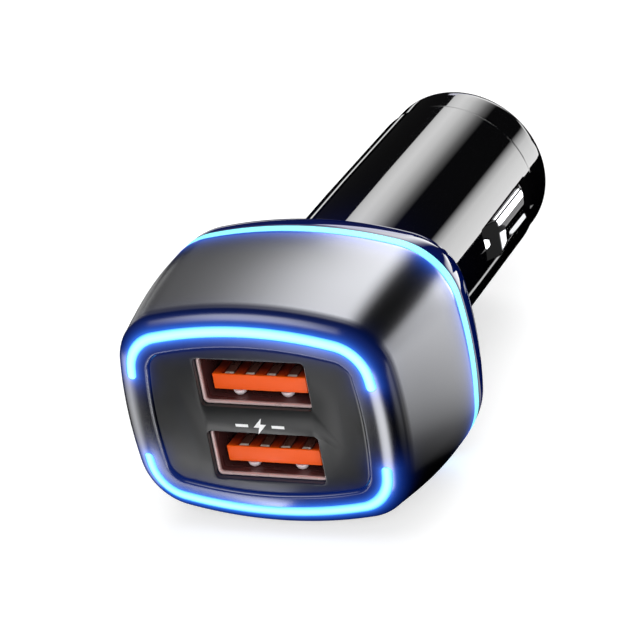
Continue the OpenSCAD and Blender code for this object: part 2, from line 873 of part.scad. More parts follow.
// Folded metal shell of one port, open at the front, with two rounded studs on its floor
module usb_shell() {
    stud_x = 2.85;
    stud_r = 0.78;
    stud_h = tongue_gap - port_gap - fit_gap;
    stud_f = tongue_f + stud_r;
    stud = [for (t = [0 : 15 : 90]) [stud_r * cos(t), -stud_r * sin(t)]];
    outer_round = 0.45;
    inner_round = 0.2;
    color("#c4c8cc")
        union() {
            slab(port_front_f, port_board_f)
                difference() {
                    rounded(port_w + 2 * port_sheet, port_h + 2 * port_sheet, outer_round);
                    rounded(port_w, port_h, inner_round);
                }
            for (s = [-1, 1])
                translate([s * stud_x, stud_f - head_len, -port_h / 2 + stud_h])
                    rotate_extrude($fn = 32)
                        polygon(concat([[0, 0]], stud));
        }
}

module usb_shell_upper() {
    translate([0, 0, port_pitch / 2]) usb_shell();
}

module usb_shell_lower() {
    translate([0, 0, -port_pitch / 2]) usb_shell();
}

// Tongue of one port with its contact channels and the block behind it
tongue_top_z = -port_h / 2 + tongue_gap + tongue_t;
block_f = port_board_f - block_len;
contact_x = [for (i = [-1.5 : 1 : 1.5]) i * contact_pitch];
module usb_tongue() {
    channel_start = 0.3;
    block_round = 0.2;
    color("#ff5a10")
        difference() {
            union() {
                block(
                    -tongue_w / 2, tongue_w / 2, tongue_f, port_board_f,
                    tongue_top_z - tongue_t, tongue_top_z
                );
                slab(block_f, port_board_f)
                    rounded(port_w - 2 * port_gap, port_h - 2 * port_gap, block_round);
            }
            for (x = contact_x)
                block(
                    x - channel_w / 2, x + channel_w / 2, tongue_f + channel_start, port_board_f + 1,
                    tongue_top_z - channel_depth, tongue_top_z + end_gap
                );
        }
}

module usb_tongue_upper() {
    translate([0, 0, port_pitch / 2]) usb_tongue();
}

module usb_tongue_lower() {
    translate([0, 0, -port_pitch / 2]) usb_tongue();
}

// Four contacts of one port, lying in the tongue's channels with raised crests
module usb_contacts() {
    start = 0.4;
    flat = 0.6;
    rise = 2.6;
    fall = 1.6;
    proud = 0.15;
    z0 = tongue_top_z - channel_depth;
    y0 = tongue_f + start - head_len;
    y1 = port_board_f - head_len;
    crest_y = y0 + rise;
    crest_z = channel_depth + proud;
    color("#e0c070")
        for (x = contact_x)
            translate([x - contact_w / 2, 0, z0])
                rotate([90, 0, 90])
                    linear_extrude(contact_w)
                        polygon([
                            [y0, 0], [y0 + flat, 0], [crest_y, crest_z - contact_t],
                            [crest_y + fall, 0], [y1, 0], [y1, contact_t],
                            [crest_y + fall, contact_t], [crest_y, crest_z], [y0, contact_t]
                        ]);
}

module usb_contacts_upper() {
    translate([0, 0, port_pitch / 2]) usb_contacts();
}

module usb_contacts_lower() {
    translate([0, 0, -port_pitch / 2]) usb_contacts();
}

// Ferrite bobbin of the inductor, on top of the main board
inductor_f = back_wall_f + core_r + 1;
module inductor_core() {
    color("#3a3a3c")
        translate([0, inductor_f - head_len, board_top])
            rotate_extrude()
                polygon([
                    [0, 0], [core_r, 0], [core_r, core_end_t], [hub_r, core_end_t],
                    [hub_r, core_h - core_end_t], [core_r, core_h - core_end_t],
                    [core_r, core_h], [0, core_h]
                ]);
}

// Copper wire on the bobbin, as stacked turns
module inductor_winding() {
    room = core_h - 2 * core_end_t - 2 * port_gap;
    turns = floor(room / wire_d);
    rise = room / turns;
    bulge = 0.12;
    outer_r = core_r - 2 * fit_gap - bulge;
    color("#b4642d")
        translate([0, inductor_f - head_len, board_top + core_end_t + port_gap])
            rotate_extrude()
                polygon(concat(
                    [[hub_r + port_gap, 0]],
                    [
                        for (i = [0 : turns - 1], p = [[0, 0], [bulge, 0.25], [bulge, 0.75], [0, 1]])
                            [outer_r + p[0], (i + p[1]) * rise]
                    ],
                    [[hub_r + port_gap, room]]
                ));
}

// Input capacitor lying under the main board, with two bent leads
input_cap_f = back_wall_f + 1.5;
input_lead_len = 1.2;
module input_capacitor() {
    z = -board_top - input_cap_r - fit_gap;
    lead_r = 0.3;
    lead_x = 1.25;
    groove = 0.25;
    neck_back = 1.6;
    f0 = input_cap_f;
    f1 = f0 + input_cap_len;
    color("#26324f")
        union() {
            translate([0, 0, z])
                turned([
                    [0, f0], [input_cap_r - groove, f0], [input_cap_r, f0 + groove],
                    [input_cap_r, f1 - neck_back - groove], [input_cap_r - groove, f1 - neck_back],
                    [input_cap_r - groove, f1 - neck_back + groove],
                    [input_cap_r, f1 - neck_back + 2 * groove],
                    [input_cap_r, f1 - groove], [input_cap_r - groove, f1], [0, f1]
                ]);
            for (s = [-1, 1]) {
                bar(lead_r, f1 - eps, f1 + input_lead_len, s * lead_x, z);
                translate([s * lead_x, f1 + input_lead_len - lead_r - head_len, z - lead_r])
                    cylinder(r = lead_r, h = -board_top - z + lead_r);
            }
        }
}

// Output capacitor standing on the main board inside the head
output_cap_f = (port_board_back_f + back_wall_f) / 2;
module output_capacitor() {
    base_t = 0.8;
    groove = 0.2;
    color("#b8bcc2")
        translate([output_cap_x, output_cap_f - head_len, board_top])
            union() {
                translate([-output_cap_r, -output_cap_r, 0])
                    cube([2 * output_cap_r, 2 * output_cap_r, base_t]);
                rotate_extrude()
                    polygon([
                        [0, base_t - eps], [output_cap_r - groove, base_t - eps],
                        [output_cap_r - groove, 2 * base_t], [output_cap_r, 2 * base_t + 2 * groove],
                        [output_cap_r, output_cap_h - 2 * groove],
                        [output_cap_r - 2 * groove, output_cap_h],
                        [0, output_cap_h]
                    ]);
            }
}

// Moulded chip with bent leads on two sides, centred at x and f on the board
module chip(x, f, body_w, body_len, body_h, leads, pitch) {
    lead_w = 0.4;
    lead_t = 0.2;
    lead_out = 0.9;
    stand = 0.1;
    translate([x, f - head_len, board_top]) {
        translate([-body_w / 2, -body_len / 2, stand])
            cube([body_w, body_len, body_h]);
        for (s = [-1, 1], i = [0 : leads - 1]) {
            y = (i - (leads - 1) / 2) * pitch;
            translate([s > 0 ? body_w / 2 - eps : -body_w / 2 - lead_out, y - lead_w / 2, 0])
                cube([lead_out + eps, lead_w, lead_t]);
            translate([s > 0 ? body_w / 2 - eps : -body_w / 2 - lead_t, y - lead_w / 2, 0])
                cube([lead_t + eps, lead_w, body_h / 2 + stand]);
        }
    }
}

chip_gap = 0.95;
module converter_chip() {
    color("#1a1a1c")
        chip(
            0, inductor_f + core_r + chip_gap + converter_len / 2,
            converter_w, converter_len, converter_h, 4, 1.27
        );
}

module port_chip() {
    color("#1a1a1c")
        chip(-output_cap_x + chip_gap / 2, output_cap_f, port_chip_w, port_chip_len, port_chip_h, 3, 0.95);
}

// Diode under the main board, midway between the input capacitor and the bracket
module rectifier_diode() {
    cap_end_f = input_cap_f + input_cap_len + input_lead_len;
    mid_f = (cap_end_f + shoe_mid_f - bracket_w / 2) / 2;
    lead_w = diode_w / 2;
    lead_out = 0.3;
    color("#202022")
        union() {
            block(
                -diode_w / 2, diode_w / 2, mid_f - diode_len / 2, mid_f + diode_len / 2,
                -board_top - fit_gap - diode_h, -board_top - fit_gap
            );
            for (s = [-1, 1]) {
                f = mid_f + s * (diode_len + lead_out - eps) / 2;
                block(
                    -lead_w / 2, lead_w / 2, f - (lead_out + eps) / 2, f + (lead_out + eps) / 2,
                    -board_top - diode_h / 2, -board_top
                );
            }
        }
}

// Small resistors and capacitors in two rows inside the head
module small_passives() {
    row_gap = 1;
    edge_x = board_head_w / 2 - led_len - end_gap;
    columns = [
        -edge_x + passive_w, -output_cap_x + port_chip_w + 2 * passive_w,
        output_cap_x - output_cap_r - row_gap - passive_w / 2, edge_x - passive_w / 2
    ];
    rows = [
        port_board_back_f + row_gap + passive_len / 2,
        back_wall_f - row_gap - passive_len / 2
    ];
    color("#b79b72")
        for (x = columns, f = rows)
            block(
                x - passive_w / 2, x + passive_w / 2, f - passive_len / 2, f + passive_len / 2,
                board_top, board_top + passive_h
            );
}

// Lamps on the port board behind the front guide's legs
module front_leds() {
    color("#fff6d0")
        for (s = [-1, 1])
            slab(port_board_f - led_t, port_board_f)
                translate([s * leg_x, 0])
                    square([leg_t, leg_w], center = true);
}

// Lamps on the main board's edges behind the rear guide's tabs
module rear_leds() {
    color("#fff6d0")
        for (s = [-1, 1])
            block(
                s > 0 ? board_head_w / 2 - led_len : -board_head_w / 2,
                s > 0 ? board_head_w / 2 : -board_head_w / 2 + led_len,
                shell_len, cover_f, board_top, board_top + led_t
            );
}

head_shell();
face_panel();
front_light_guide();
rear_light_guide();
rear_cover();
barrel();
nose_cap();
tip_contact();
tip_spring();
tip_terminal();
side_contact_left();
side_contact_right();
side_spring_left();
side_spring_right();
ground_bracket();
port_board();
main_board();
usb_shell_upper();
usb_shell_lower();
usb_tongue_upper();
usb_tongue_lower();
usb_contacts_upper();
usb_contacts_lower();
inductor_core();
inductor_winding();
input_capacitor();
output_capacitor();
converter_chip();
port_chip();
rectifier_diode();
small_passives();
front_leds();
rear_leds();
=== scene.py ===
import math

import bmesh
import bpy
import numpy as np
from mathutils import Matrix, Vector


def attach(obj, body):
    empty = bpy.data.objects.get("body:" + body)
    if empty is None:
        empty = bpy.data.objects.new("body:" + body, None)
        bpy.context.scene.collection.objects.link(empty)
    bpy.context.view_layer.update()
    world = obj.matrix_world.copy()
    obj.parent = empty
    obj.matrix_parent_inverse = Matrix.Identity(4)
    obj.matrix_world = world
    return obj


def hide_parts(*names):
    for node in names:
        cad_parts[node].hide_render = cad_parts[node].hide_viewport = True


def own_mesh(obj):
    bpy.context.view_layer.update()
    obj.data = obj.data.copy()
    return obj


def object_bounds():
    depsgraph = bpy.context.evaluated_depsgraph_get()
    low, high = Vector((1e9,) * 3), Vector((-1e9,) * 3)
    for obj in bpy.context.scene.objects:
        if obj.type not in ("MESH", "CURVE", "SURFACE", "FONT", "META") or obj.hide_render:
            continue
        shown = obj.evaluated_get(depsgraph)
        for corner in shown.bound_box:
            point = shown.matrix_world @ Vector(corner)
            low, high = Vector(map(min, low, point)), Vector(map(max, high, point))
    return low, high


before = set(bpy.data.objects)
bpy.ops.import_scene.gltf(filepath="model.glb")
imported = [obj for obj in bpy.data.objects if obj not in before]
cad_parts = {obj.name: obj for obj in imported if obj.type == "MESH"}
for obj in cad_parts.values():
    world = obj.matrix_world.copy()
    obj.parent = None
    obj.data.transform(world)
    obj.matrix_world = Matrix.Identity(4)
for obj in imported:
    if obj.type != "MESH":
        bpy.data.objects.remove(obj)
cad_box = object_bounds()

# Sizes, in mm
# Depths called f are measured backwards from the front of the lip.
# Offsets called o are measured outwards from the line of the front light.
MM = 0.001
HEAD_LEN = 24.0
LIGHT_W, LIGHT_H = 28.9, 21.9
SIDE_R, TOP_R, CORNER_R = 47.0, 48.5, 4.4
SHELL_LEN, SHELL_WALL = 17.1, 1.5
LIP_IN, LIP_OUT, LIP_ROUND, LIP_T, LIP_FLAT = 2.0, 2.1, 2.2, 1.6, 0.6
POCKET_O = 1.0
SWELL, SWELL_F = 3.4, 14.5
STRIP_W, STRIP_END_Z = 1.2, 5.2
RING_W, RING_O = 1.4, 3.32
COVER_F, COVER_O, BACK_ROUND, BACK_O = 18.5, 3.22, 5.4, -0.8
SKIRT_F, SKIRT_O, SKIRT_IN_O = 12.1, 1.55, 0.15
PANEL_F, PANEL_T, PANEL_O = 0.34, 1.6, -2.1
PORT_F, PORT_W, PORT_H, PORT_SHEET, PORT_PITCH = 0.99, 12.5, 5.1, 0.3, 8.9
BOARD_F = 13.2
BARREL_R, BARREL_TIP_R, BORE_R, NECK_R = 10.45, 10.25, 8.75, 9.85
SEAT_LEN, BARREL_LEN = 15.0, 32.8
NOSE_LEN, NOSE_R, NOSE_FACE_R = 6.2, 10.0, 7.0
SIDE_Y, SIDE_LEN, SIDE_W, SIDE_CREST = 17.2, 13.6, 4.5, 11.5
FLANGE_F, FLANGE_O = 3.0, POCKET_O - 0.1
LEG_X, LEG_W, LEG_F, LEG_TIP_F, LEG_HALF_H = 13.4, 1.3, 2.3, 12.3, 1.0
NECK_LEN = 2.5
CUT_X_IN, CUT_X_OUT = 4.0, 13.0
DEPTH_SPAN = 8.0

# Outline of the head
half_w, half_h = LIGHT_W / 2, LIGHT_H / 2
side_c = np.array([half_w - SIDE_R, 0.0])
top_c = np.array([0.0, half_h - TOP_R])
side_d, top_d = SIDE_R - CORNER_R, TOP_R - CORNER_R
centre_d = np.linalg.norm(top_c - side_c)
along = (side_d**2 - top_d**2 + centre_d**2) / (2 * centre_d)
across = math.sqrt(side_d**2 - along**2)
centre_dir = (top_c - side_c) / centre_d
corner_c = side_c + along * centre_dir + across * np.array([-centre_dir[1], centre_dir[0]])
SIDE_TURN = math.degrees(math.atan2(corner_c[1], corner_c[0] - side_c[0]))
TOP_TURN = math.degrees(math.atan2(corner_c[1] - top_c[1], corner_c[0]))


def rim(q, o):
    """Point [x, z] of the outline at direction q in degrees, from 0 at +X to 90 at +Z, moved out by o."""
    if q < SIDE_TURN:
        c, r = side_c, SIDE_R
    elif q <= TOP_TURN:
        c, r = corner_c, CORNER_R
    else:
        c, r = top_c, TOP_R
    return c + (r + o) * np.array([math.cos(math.radians(q)), math.sin(math.radians(q))])


QUARTER = np.concatenate([
    np.linspace(0, SIDE_TURN, 11)[:-1],
    np.linspace(SIDE_TURN, TOP_TURN, 29),
    np.linspace(TOP_TURN, 90, 21)[1:],
])


def outline(o):
    """Points [x, z] all round the outline, moved out by o."""
    q1 = [rim(q, o) for q in QUARTER[:-1]]
    q2 = [rim(q, o) * [-1, 1] for q in QUARTER[:0:-1]]
    q3 = [-rim(q, o) for q in QUARTER[:-1]]
    q4 = [rim(q, o) * [1, -1] for q in QUARTER[:0:-1]]
    return np.array(q1 + q2 + q3 + q4)


def ring(f, o):
    """The outline moved out by o, at depth f."""
    p = outline(o)
    return np.column_stack([p[:, 0], np.full(len(p), f - HEAD_LEN), p[:, 1]])


def circle_ring(f, r, like=None, n=192):
    """Circle round the plug's axis, with one point for each point of the ring called like, or n points."""
    a = np.linspace(0, 2 * math.pi, n, endpoint=False)
    if like is not None:
        a = np.arctan2(like[:, 2], like[:, 0])
    return np.column_stack([r * np.cos(a), np.full(len(a), f - HEAD_LEN), r * np.sin(a)])


def arc(c0, c1, r0, r1, a0, a1, n):
    """Points (c0 + r0 cos a, c1 + r1 sin a) for a from a0 to a1 degrees."""
    turns = np.radians(np.linspace(a0, a1, n))
    return [(c0 + r0 * math.cos(a), c1 + r1 * math.sin(a)) for a in turns]


def rounded_rectangle(a0, a1, b0, b1, r, steps=7):
    """Points round a rectangle whose corners are rounded by r."""
    corners = [(a1 - r, b1 - r, 0), (a0 + r, b1 - r, 90), (a0 + r, b0 + r, 180), (a1 - r, b0 + r, 270)]
    return [p for a, b, turn in corners for p in arc(a, b, r, r, turn, turn + 90, steps)]


def shell_o(f):
    """Offset of the shell's side at depth f: it swells as far as SWELL_F."""
    s = min(1.0, (f - LIP_ROUND) / (SWELL_F - LIP_ROUND))
    return LIP_OUT + (SWELL - LIP_OUT) * math.sin(math.pi / 2 * s)


def lip_f(o):
    """Depth of the lip's surface at offset o."""
    s = min(1.0, max(0.0, (o + LIP_FLAT) / (LIP_OUT + LIP_FLAT)))
    return LIP_ROUND * (1 - math.sqrt(1 - s * s))


# Lines that the two front strips and the rear ring follow, for the glow that is painted round them
END_Q = math.degrees(math.asin(STRIP_END_Z / SIDE_R))
strip_q = np.concatenate([
    np.linspace(END_Q, SIDE_TURN, 6),
    np.linspace(SIDE_TURN, TOP_TURN, 41)[1:],
    np.linspace(TOP_TURN, 90, 25)[1:],
])
strip_top = np.array([rim(q, 0) for q in strip_q] + [rim(q, 0) * [-1, 1] for q in strip_q[-2::-1]])
strip_line = np.vstack([
    np.column_stack([s[:, 0], np.full(len(s), lip_f(0) - HEAD_LEN), s[:, 1]])
    for s in (strip_top, strip_top * [1, -1])
])
ring_line = ring(SHELL_LEN + RING_W / 2, RING_O)


# Mesh helpers
def loft(rings, closed=True, caps=False):
    """Vertices and faces of a skin through rings of equal length."""
    n, k = len(rings[0]), len(rings)
    faces = []
    for i in range(k if closed else k - 1):
        a, b = i * n, ((i + 1) % k) * n
        faces += [(a + j, b + j, b + (j + 1) % n, a + (j + 1) % n) for j in range(n)]
    if caps:
        faces += [tuple(range(n)), tuple(range((k - 1) * n, k * n))]
    return np.vstack(rings), faces


def box(x0, x1, y0, y1, z0, z1):
    v = np.array([(x, y, z) for x in (x0, x1) for y in (y0, y1) for z in (z0, z1)])
    return v, [(0, 1, 3, 2), (4, 6, 7, 5), (0, 4, 5, 1), (2, 3, 7, 6), (0, 2, 6, 4), (1, 5, 7, 3)]


def join(parts):
    """One list of vertices and one of faces from several."""
    verts, faces, n = [], [], 0
    for v, f in parts:
        verts.append(np.asarray(v, float))
        faces += [tuple(i + n for i in face) for face in f]
        n += len(v)
    return np.vstack(verts), faces


def linked_object(name, data):
    obj = bpy.data.objects.new(name, data)
    bpy.context.scene.collection.objects.link(obj)
    return obj


def make(name, verts, faces):
    """Object with a mesh from points in mm."""
    mesh = bpy.data.meshes.new(name)
    points = [tuple(float(c) * MM for c in v) for v in verts]
    mesh.from_pydata(points, [], [tuple(int(i) for i in f) for f in faces])
    bm = bmesh.new()
    bm.from_mesh(mesh)
    bmesh.ops.recalc_face_normals(bm, faces=bm.faces)
    bm.to_mesh(mesh)
    bm.free()
    return linked_object(name, mesh)


def bake(obj):
    """Applies the modifiers of obj to its mesh."""
    bpy.context.view_layer.update()
    old = obj.data
    obj.data = bpy.data.meshes.new_from_object(obj.evaluated_get(bpy.context.evaluated_depsgraph_get()))
    obj.modifiers.clear()
    bpy.data.meshes.remove(old)


def cut(obj, cutter):
    """Takes the cutter's solid out of obj and removes the cutter."""
    mod = obj.modifiers.new("cut", "BOOLEAN")
    mod.object, mod.operation, mod.solver = cutter, "DIFFERENCE", "EXACT"
    bake(obj)
    bpy.data.objects.remove(cutter)


def bevel(obj, width, segments=2, angle=30):
    """Bevels the edges that turn by more than angle, by a width in mm."""
    mod = obj.modifiers.new("bevel", "BEVEL")
    mod.width, mod.segments = width * MM, segments
    mod.limit_method, mod.angle_limit = "ANGLE", math.radians(angle)
    bake(obj)


def finish(obj, material, body, nodes=(), smooth=32):
    """Gives obj its material and its body, and hides the CAD nodes that it replaces."""
    obj.data.shade_smooth()
    obj.data.set_sharp_from_angle(angle=math.radians(smooth))
    obj.data.materials.clear()
    obj.data.materials.append(material)
    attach(obj, body)
    if nodes:
        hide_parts(*nodes)
    return obj


def coords(obj):
    """The vertices of obj, in mm."""
    co = np.zeros(len(obj.data.vertices) * 3)
    obj.data.vertices.foreach_get("co", co)
    return co.reshape(-1, 3) / MM


def distances(points, line):
    """How far each point is from the nearest point of a line."""
    out = np.empty(len(points))
    for i in range(0, len(points), 2000):
        d = points[i:i + 2000, None, :] - line[None, :, :]
        out[i:i + 2000] = np.sqrt((d * d).sum(2)).min(1)
    return out


def keep(obj, name, values):
    """Keeps one number on each vertex, for its material."""
    obj.data.attributes.new(name, "FLOAT", "POINT").data.foreach_set("value", np.array(values, float))


def add_light_distances(obj):
    """Keeps on each vertex how far it is from the front strips and from the rear ring, in mm."""
    co = coords(obj)
    keep(obj, "front_light_mm", distances(co, strip_line))
    keep(obj, "rear_light_mm", distances(co, ring_line))


def port_depth(obj):
    """How deep each vertex lies in the port, from 0 at the opening to 1 at DEPTH_SPAN."""
    return np.clip((coords(obj)[:, 1] + HEAD_LEN - PORT_F) / DEPTH_SPAN, 0, 1)


# Materials
class Shader:
    """A material with one Principled shader, and short ways to add nodes to it."""

    RELIEF = 0.02 * MM

    def __init__(self, name, colour, roughness, metallic=0.0, **sockets):
        self.material = bpy.data.materials.new(name)
        self.material.use_nodes = True
        self.tree = self.material.node_tree
        self.bsdf = self.tree.nodes["Principled BSDF"]
        self.bsdf.inputs["Base Color"].default_value = (*colour, 1)
        self.bsdf.inputs["Roughness"].default_value = roughness
        self.bsdf.inputs["Metallic"].default_value = metallic
        for key, value in sockets.items():
            self.bsdf.inputs[key.replace("_", " ")].default_value = value
        self.colour, self.roughness = colour, roughness

    def node(self, kind, **settings):
        n = self.tree.nodes.new("ShaderNode" + kind)
        for key, value in settings.items():
            setattr(n, key, value)
        return n

    def attribute(self, name):
        return self.node("Attribute", attribute_name=name, attribute_type="GEOMETRY").outputs["Fac"]

    def link(self, a, b):
        self.tree.links.new(a, b)

    def math(self, operation, a, b=None, clamp=False):
        n = self.node("Math", operation=operation, use_clamp=clamp)
        for socket, value in zip(n.inputs, (a, b)):
            if isinstance(value, (int, float)):
                socket.default_value = value
            elif value is not None:
                self.link(value, socket)
        return n.outputs[0]

    def noise(self, scale, detail=4.0, stretch=(1, 1, 1)):
        place = self.node("TexCoord")
        mapping = self.node("Mapping")
        mapping.inputs["Scale"].default_value = stretch
        self.link(place.outputs["Object"], mapping.inputs["Vector"])
        n = self.node("TexNoise")
        n.inputs["Scale"].default_value = scale
        n.inputs["Detail"].default_value = detail
        self.link(mapping.outputs[0], n.inputs["Vector"])
        return n.outputs["Fac"]

    def ramp(self, value, stops):
        n = self.node("ValToRGB")
        self.link(value, n.inputs[0])
        while len(n.color_ramp.elements) < len(stops):
            n.color_ramp.elements.new(0.5)
        for element, (place, colour) in zip(n.color_ramp.elements, stops):
            element.position = place
            element.color = (*colour, 1)
        return n.outputs[0]

    def spread(self, value, low, high):
        """value from 0.3 to 0.7 becomes low to high."""
        n = self.node("MapRange")
        for key, number in zip(("From Min", "From Max", "To Min", "To Max"), (0.3, 0.7, low, high)):
            n.inputs[key].default_value = number
        self.link(value, n.inputs["Value"])
        return n.outputs[0]

    def surface(self, scale, tone=0.1, rough=0.1, bump=0.0, bump_scale=None, stretch=(1, 1, 1)):
        """Slight changes of tone and roughness at one scale, and a fine relief at another."""
        n = self.noise(scale, stretch=stretch)
        low = tuple(c * (1 - tone) for c in self.colour)
        high = tuple(min(1.0, c * (1 + tone)) for c in self.colour)
        self.link(self.ramp(n, [(0.3, low), (0.7, high)]), self.bsdf.inputs["Base Color"])
        uneven = self.spread(n, self.roughness * (1 - rough), self.roughness * (1 + rough))
        self.link(uneven, self.bsdf.inputs["Roughness"])
        if bump:
            b = self.node("Bump")
            b.inputs["Strength"].default_value = bump
            b.inputs["Distance"].default_value = self.RELIEF
            self.link(self.noise(bump_scale or scale * 4, stretch=stretch), b.inputs["Height"])
            self.link(b.outputs[0], self.bsdf.inputs["Normal"])
        return self

    def paint_shade_near(self, name, core, reach, low):
        """Paints shade: fades the colour to low times itself where the attribute falls from reach to core."""
        past_core = self.math("SUBTRACT", self.attribute(name), core)
        near = self.math("MULTIPLY", past_core, 1 / (reach - core), clamp=True)
        factor = self.math("ADD", self.math("MULTIPLY", near, 1 - low), low)
        n = self.node("VectorMath", operation="SCALE")
        self.link(self.bsdf.inputs["Base Color"].links[0].from_socket, n.inputs[0])
        self.link(factor, n.inputs["Scale"])
        self.link(n.outputs[0], self.bsdf.inputs["Base Color"])
        return self

    def paint_depth_shade(self, stops):
        """Colour by the attribute called depth, which a fine noise makes slightly uneven; the stops paint
        shade deeper in the port.
        """
        uneven = self.math("MULTIPLY", self.math("SUBTRACT", self.noise(500), 0.5), 0.02)
        depth = self.math("ADD", self.attribute("depth"), uneven)
        self.link(self.ramp(depth, stops), self.bsdf.inputs["Base Color"])
        return self

    def paint_glow_from(self, *lights):
        """Paints the glow that the strips and the ring throw, as emission in the surface's own material:
        painted light.

        Each light is (attribute, colour, reach in mm, where it starts in mm).
        """
        total = None
        for name, colour, reach, start in lights:
            d = self.math("MAXIMUM", self.math("SUBTRACT", self.attribute(name), start), 0.0)
            fade = self.math("EXPONENT", self.math("MULTIPLY", d, -1 / reach))
            n = self.node("VectorMath", operation="SCALE")
            n.inputs[0].default_value = colour
            self.link(fade, n.inputs["Scale"])
            if total is None:
                total = n.outputs[0]
            else:
                add = self.node("VectorMath", operation="ADD")
                self.link(total, add.inputs[0])
                self.link(n.outputs[0], add.inputs[1])
                total = add.outputs[0]
        self.link(total, self.bsdf.inputs["Emission Color"])
        self.bsdf.inputs["Emission Strength"].default_value = 1.0
        return self


gunmetal = Shader("gunmetal_shell", (0.13, 0.132, 0.14), 0.23, 1.0).surface(60, 0.05, 0.05, 0.05, 5000)
# Painted light: the blue glow of the strips and the ring, painted into the shell as emission
gunmetal.paint_glow_from(
    ("front_light_mm", (0.03, 0.17, 0.5), 0.3, 0.6),
    ("front_light_mm", (0.016, 0.07, 0.6), 0.8, 0.6),
    ("rear_light_mm", (0.02, 0.13, 0.85), 1.0, 0.7),
)
# Painted shade in the crease behind the lip and on the lip's inner side
gunmetal.paint_shade_near("crease_mm", 0.3, 0.95, 0.1)
charcoal = Shader("charcoal_panel", (0.011, 0.0115, 0.012), 0.3).surface(400, 0.12, 0.08, 0.25, 9000)
# Painted light: the glow of the front strips, painted into the panel as emission
charcoal.paint_glow_from(("front_light_mm", (0.002, 0.012, 0.12), 0.6, 2.0))
black = Shader("gloss_black", (0.0012, 0.0012, 0.0015), 0.035, IOR=1.5).surface(45, 0.2, 0.15)
# Copies of the gloss black for the cover and the barrel, with the rear ring's glow painted in as emission
cover_black = Shader("cover_black", (0.0012, 0.0012, 0.002), 0.05, IOR=1.5).surface(45, 0.2, 0.15)
cover_black.paint_glow_from(("rear_light_mm", (0.0, 0.005, 0.085), 4.0, 0.6))
barrel_black = Shader("barrel_black", (0.0012, 0.0012, 0.0015), 0.035, IOR=1.5).surface(45, 0.2, 0.15)
barrel_black.paint_glow_from(("rear_light_mm", (0.0, 0.003, 0.06), 3.0, 6.0))


def lit_plastic(name, stops):
    """Clear plastic lit from inside. The attribute called edge is 0 in its middle and 1 at its border."""
    shader = Shader(name, (0.1, 0.3, 0.36), 0.45)
    uneven = shader.math("MULTIPLY", shader.math("SUBTRACT", shader.noise(120), 0.5), 0.12)
    edge = shader.math("ADD", shader.attribute("edge"), uneven)
    shader.link(shader.ramp(edge, stops), shader.bsdf.inputs["Emission Color"])
    shader.bsdf.inputs["Emission Strength"].default_value = 1.0
    return shader


front_lit = lit_plastic("front_light", [
    (0.0, (0.6, 1.0, 1.0)), (0.5, (0.46, 0.95, 1.0)), (0.8, (0.16, 0.72, 0.98)), (1.0, (0.05, 0.36, 0.88)),
])
# The last stop, at the ring's back border, is painted shade: a dark teal line where it meets the cover
rear_lit = lit_plastic("rear_light", [
    (0.0, (0.02, 0.22, 0.85)), (0.15, (0.24, 0.9, 1.0)), (0.6, (0.2, 0.84, 1.0)),
    (0.85, (0.06, 0.6, 0.86)), (1.0, (0.004, 0.16, 0.22)),
])

chrome = Shader("bright_contact", (0.82, 0.83, 0.85), 0.07, 1.0).surface(150, 0.04, 0.2)
spring_steel = Shader("spring_steel", (0.56, 0.57, 0.59), 0.28, 1.0).surface(400, 0.1, 0.2, 0.1, 4000)
# The sheet's pink tint is a painted reflection of the orange tongue; its stops paint shade from about half a
# millimetre inside the port
port_steel = Shader("port_steel", (0.8, 0.64, 0.6), 0.3, 0.2).surface(300, 0.06, 0.25, 0.05, 4000, (1, 6, 1))
port_steel.paint_depth_shade([
    (0.0, (0.62, 0.47, 0.46)), (0.03, (0.62, 0.47, 0.46)), (0.06, (0.1, 0.032, 0.03)),
    (0.5, (0.04, 0.012, 0.012)), (0.85, (0.03, 0.01, 0.01)), (0.9, (1.0, 0.9, 0.92)),
])
orange = Shader("orange_plastic", (1.0, 0.15, 0.012), 0.4).surface(300, 0.06, 0.15, 0.06, 4000)
# Painted shade: the tongue's colour goes dark just behind its front, deeper into the port
orange.paint_depth_shade([
    (0.0, (1.0, 0.11, 0.002)), (0.155, (1.0, 0.11, 0.002)), (0.2, (0.42, 0.035, 0.004)),
    (0.29, (0.1, 0.012, 0.006)), (1.0, (0.03, 0.005, 0.005)),
])
gold = Shader("gold_plate", (0.9, 0.8, 0.68), 0.25, 0.3).surface(500, 0.05, 0.3, 0.05, 3000)
# Painted shade: the contacts' colour goes dark just behind their tips
gold.paint_depth_shade([
    (0.0, (1.0, 0.85, 0.75)), (0.225, (1.0, 0.85, 0.75)), (0.25, (0.16, 0.06, 0.04)),
    (0.5, (0.05, 0.02, 0.02)), (1.0, (0.03, 0.015, 0.01)),
])
brass = Shader("brass_sheet", (0.75, 0.56, 0.26), 0.3, 1.0).surface(300, 0.08, 0.2, 0.1, 3000, (1, 5, 1))
board = Shader("board_green", (0.012, 0.13, 0.045), 0.33).surface(350, 0.18, 0.2, 0.2, 1500)
ferrite = Shader("ferrite", (0.035, 0.035, 0.038), 0.7).surface(900, 0.25, 0.1, 0.4, 5000)
copper = Shader("copper_wire", (0.62, 0.2, 0.07), 0.25, 0.9).surface(300, 0.1, 0.2, 0.2, 2000, (1, 1, 8))
sleeve = Shader("blue_sleeve", (0.012, 0.03, 0.11), 0.3).surface(200, 0.15, 0.2, 0.15, 2000)
can = Shader("capacitor_can", (0.75, 0.76, 0.78), 0.3, 1.0).surface(300, 0.05, 0.2, 0.1, 2500, (1, 1, 9))
chip_black = Shader("chip_black", (0.02, 0.02, 0.022), 0.6).surface(900, 0.2, 0.1, 0.3, 6000)
chip_tan = Shader("chip_tan", (0.4, 0.28, 0.15), 0.45).surface(700, 0.15, 0.15, 0.2, 4000)
lamp = Shader("lamp_white", (0.85, 0.83, 0.68), 0.3).surface(500, 0.06, 0.15, 0.1, 3000)
print_white = Shader("print_white", (0.95, 0.95, 0.95), 0.5).surface(1500, 0.08, 0.1, 0.2, 9000)

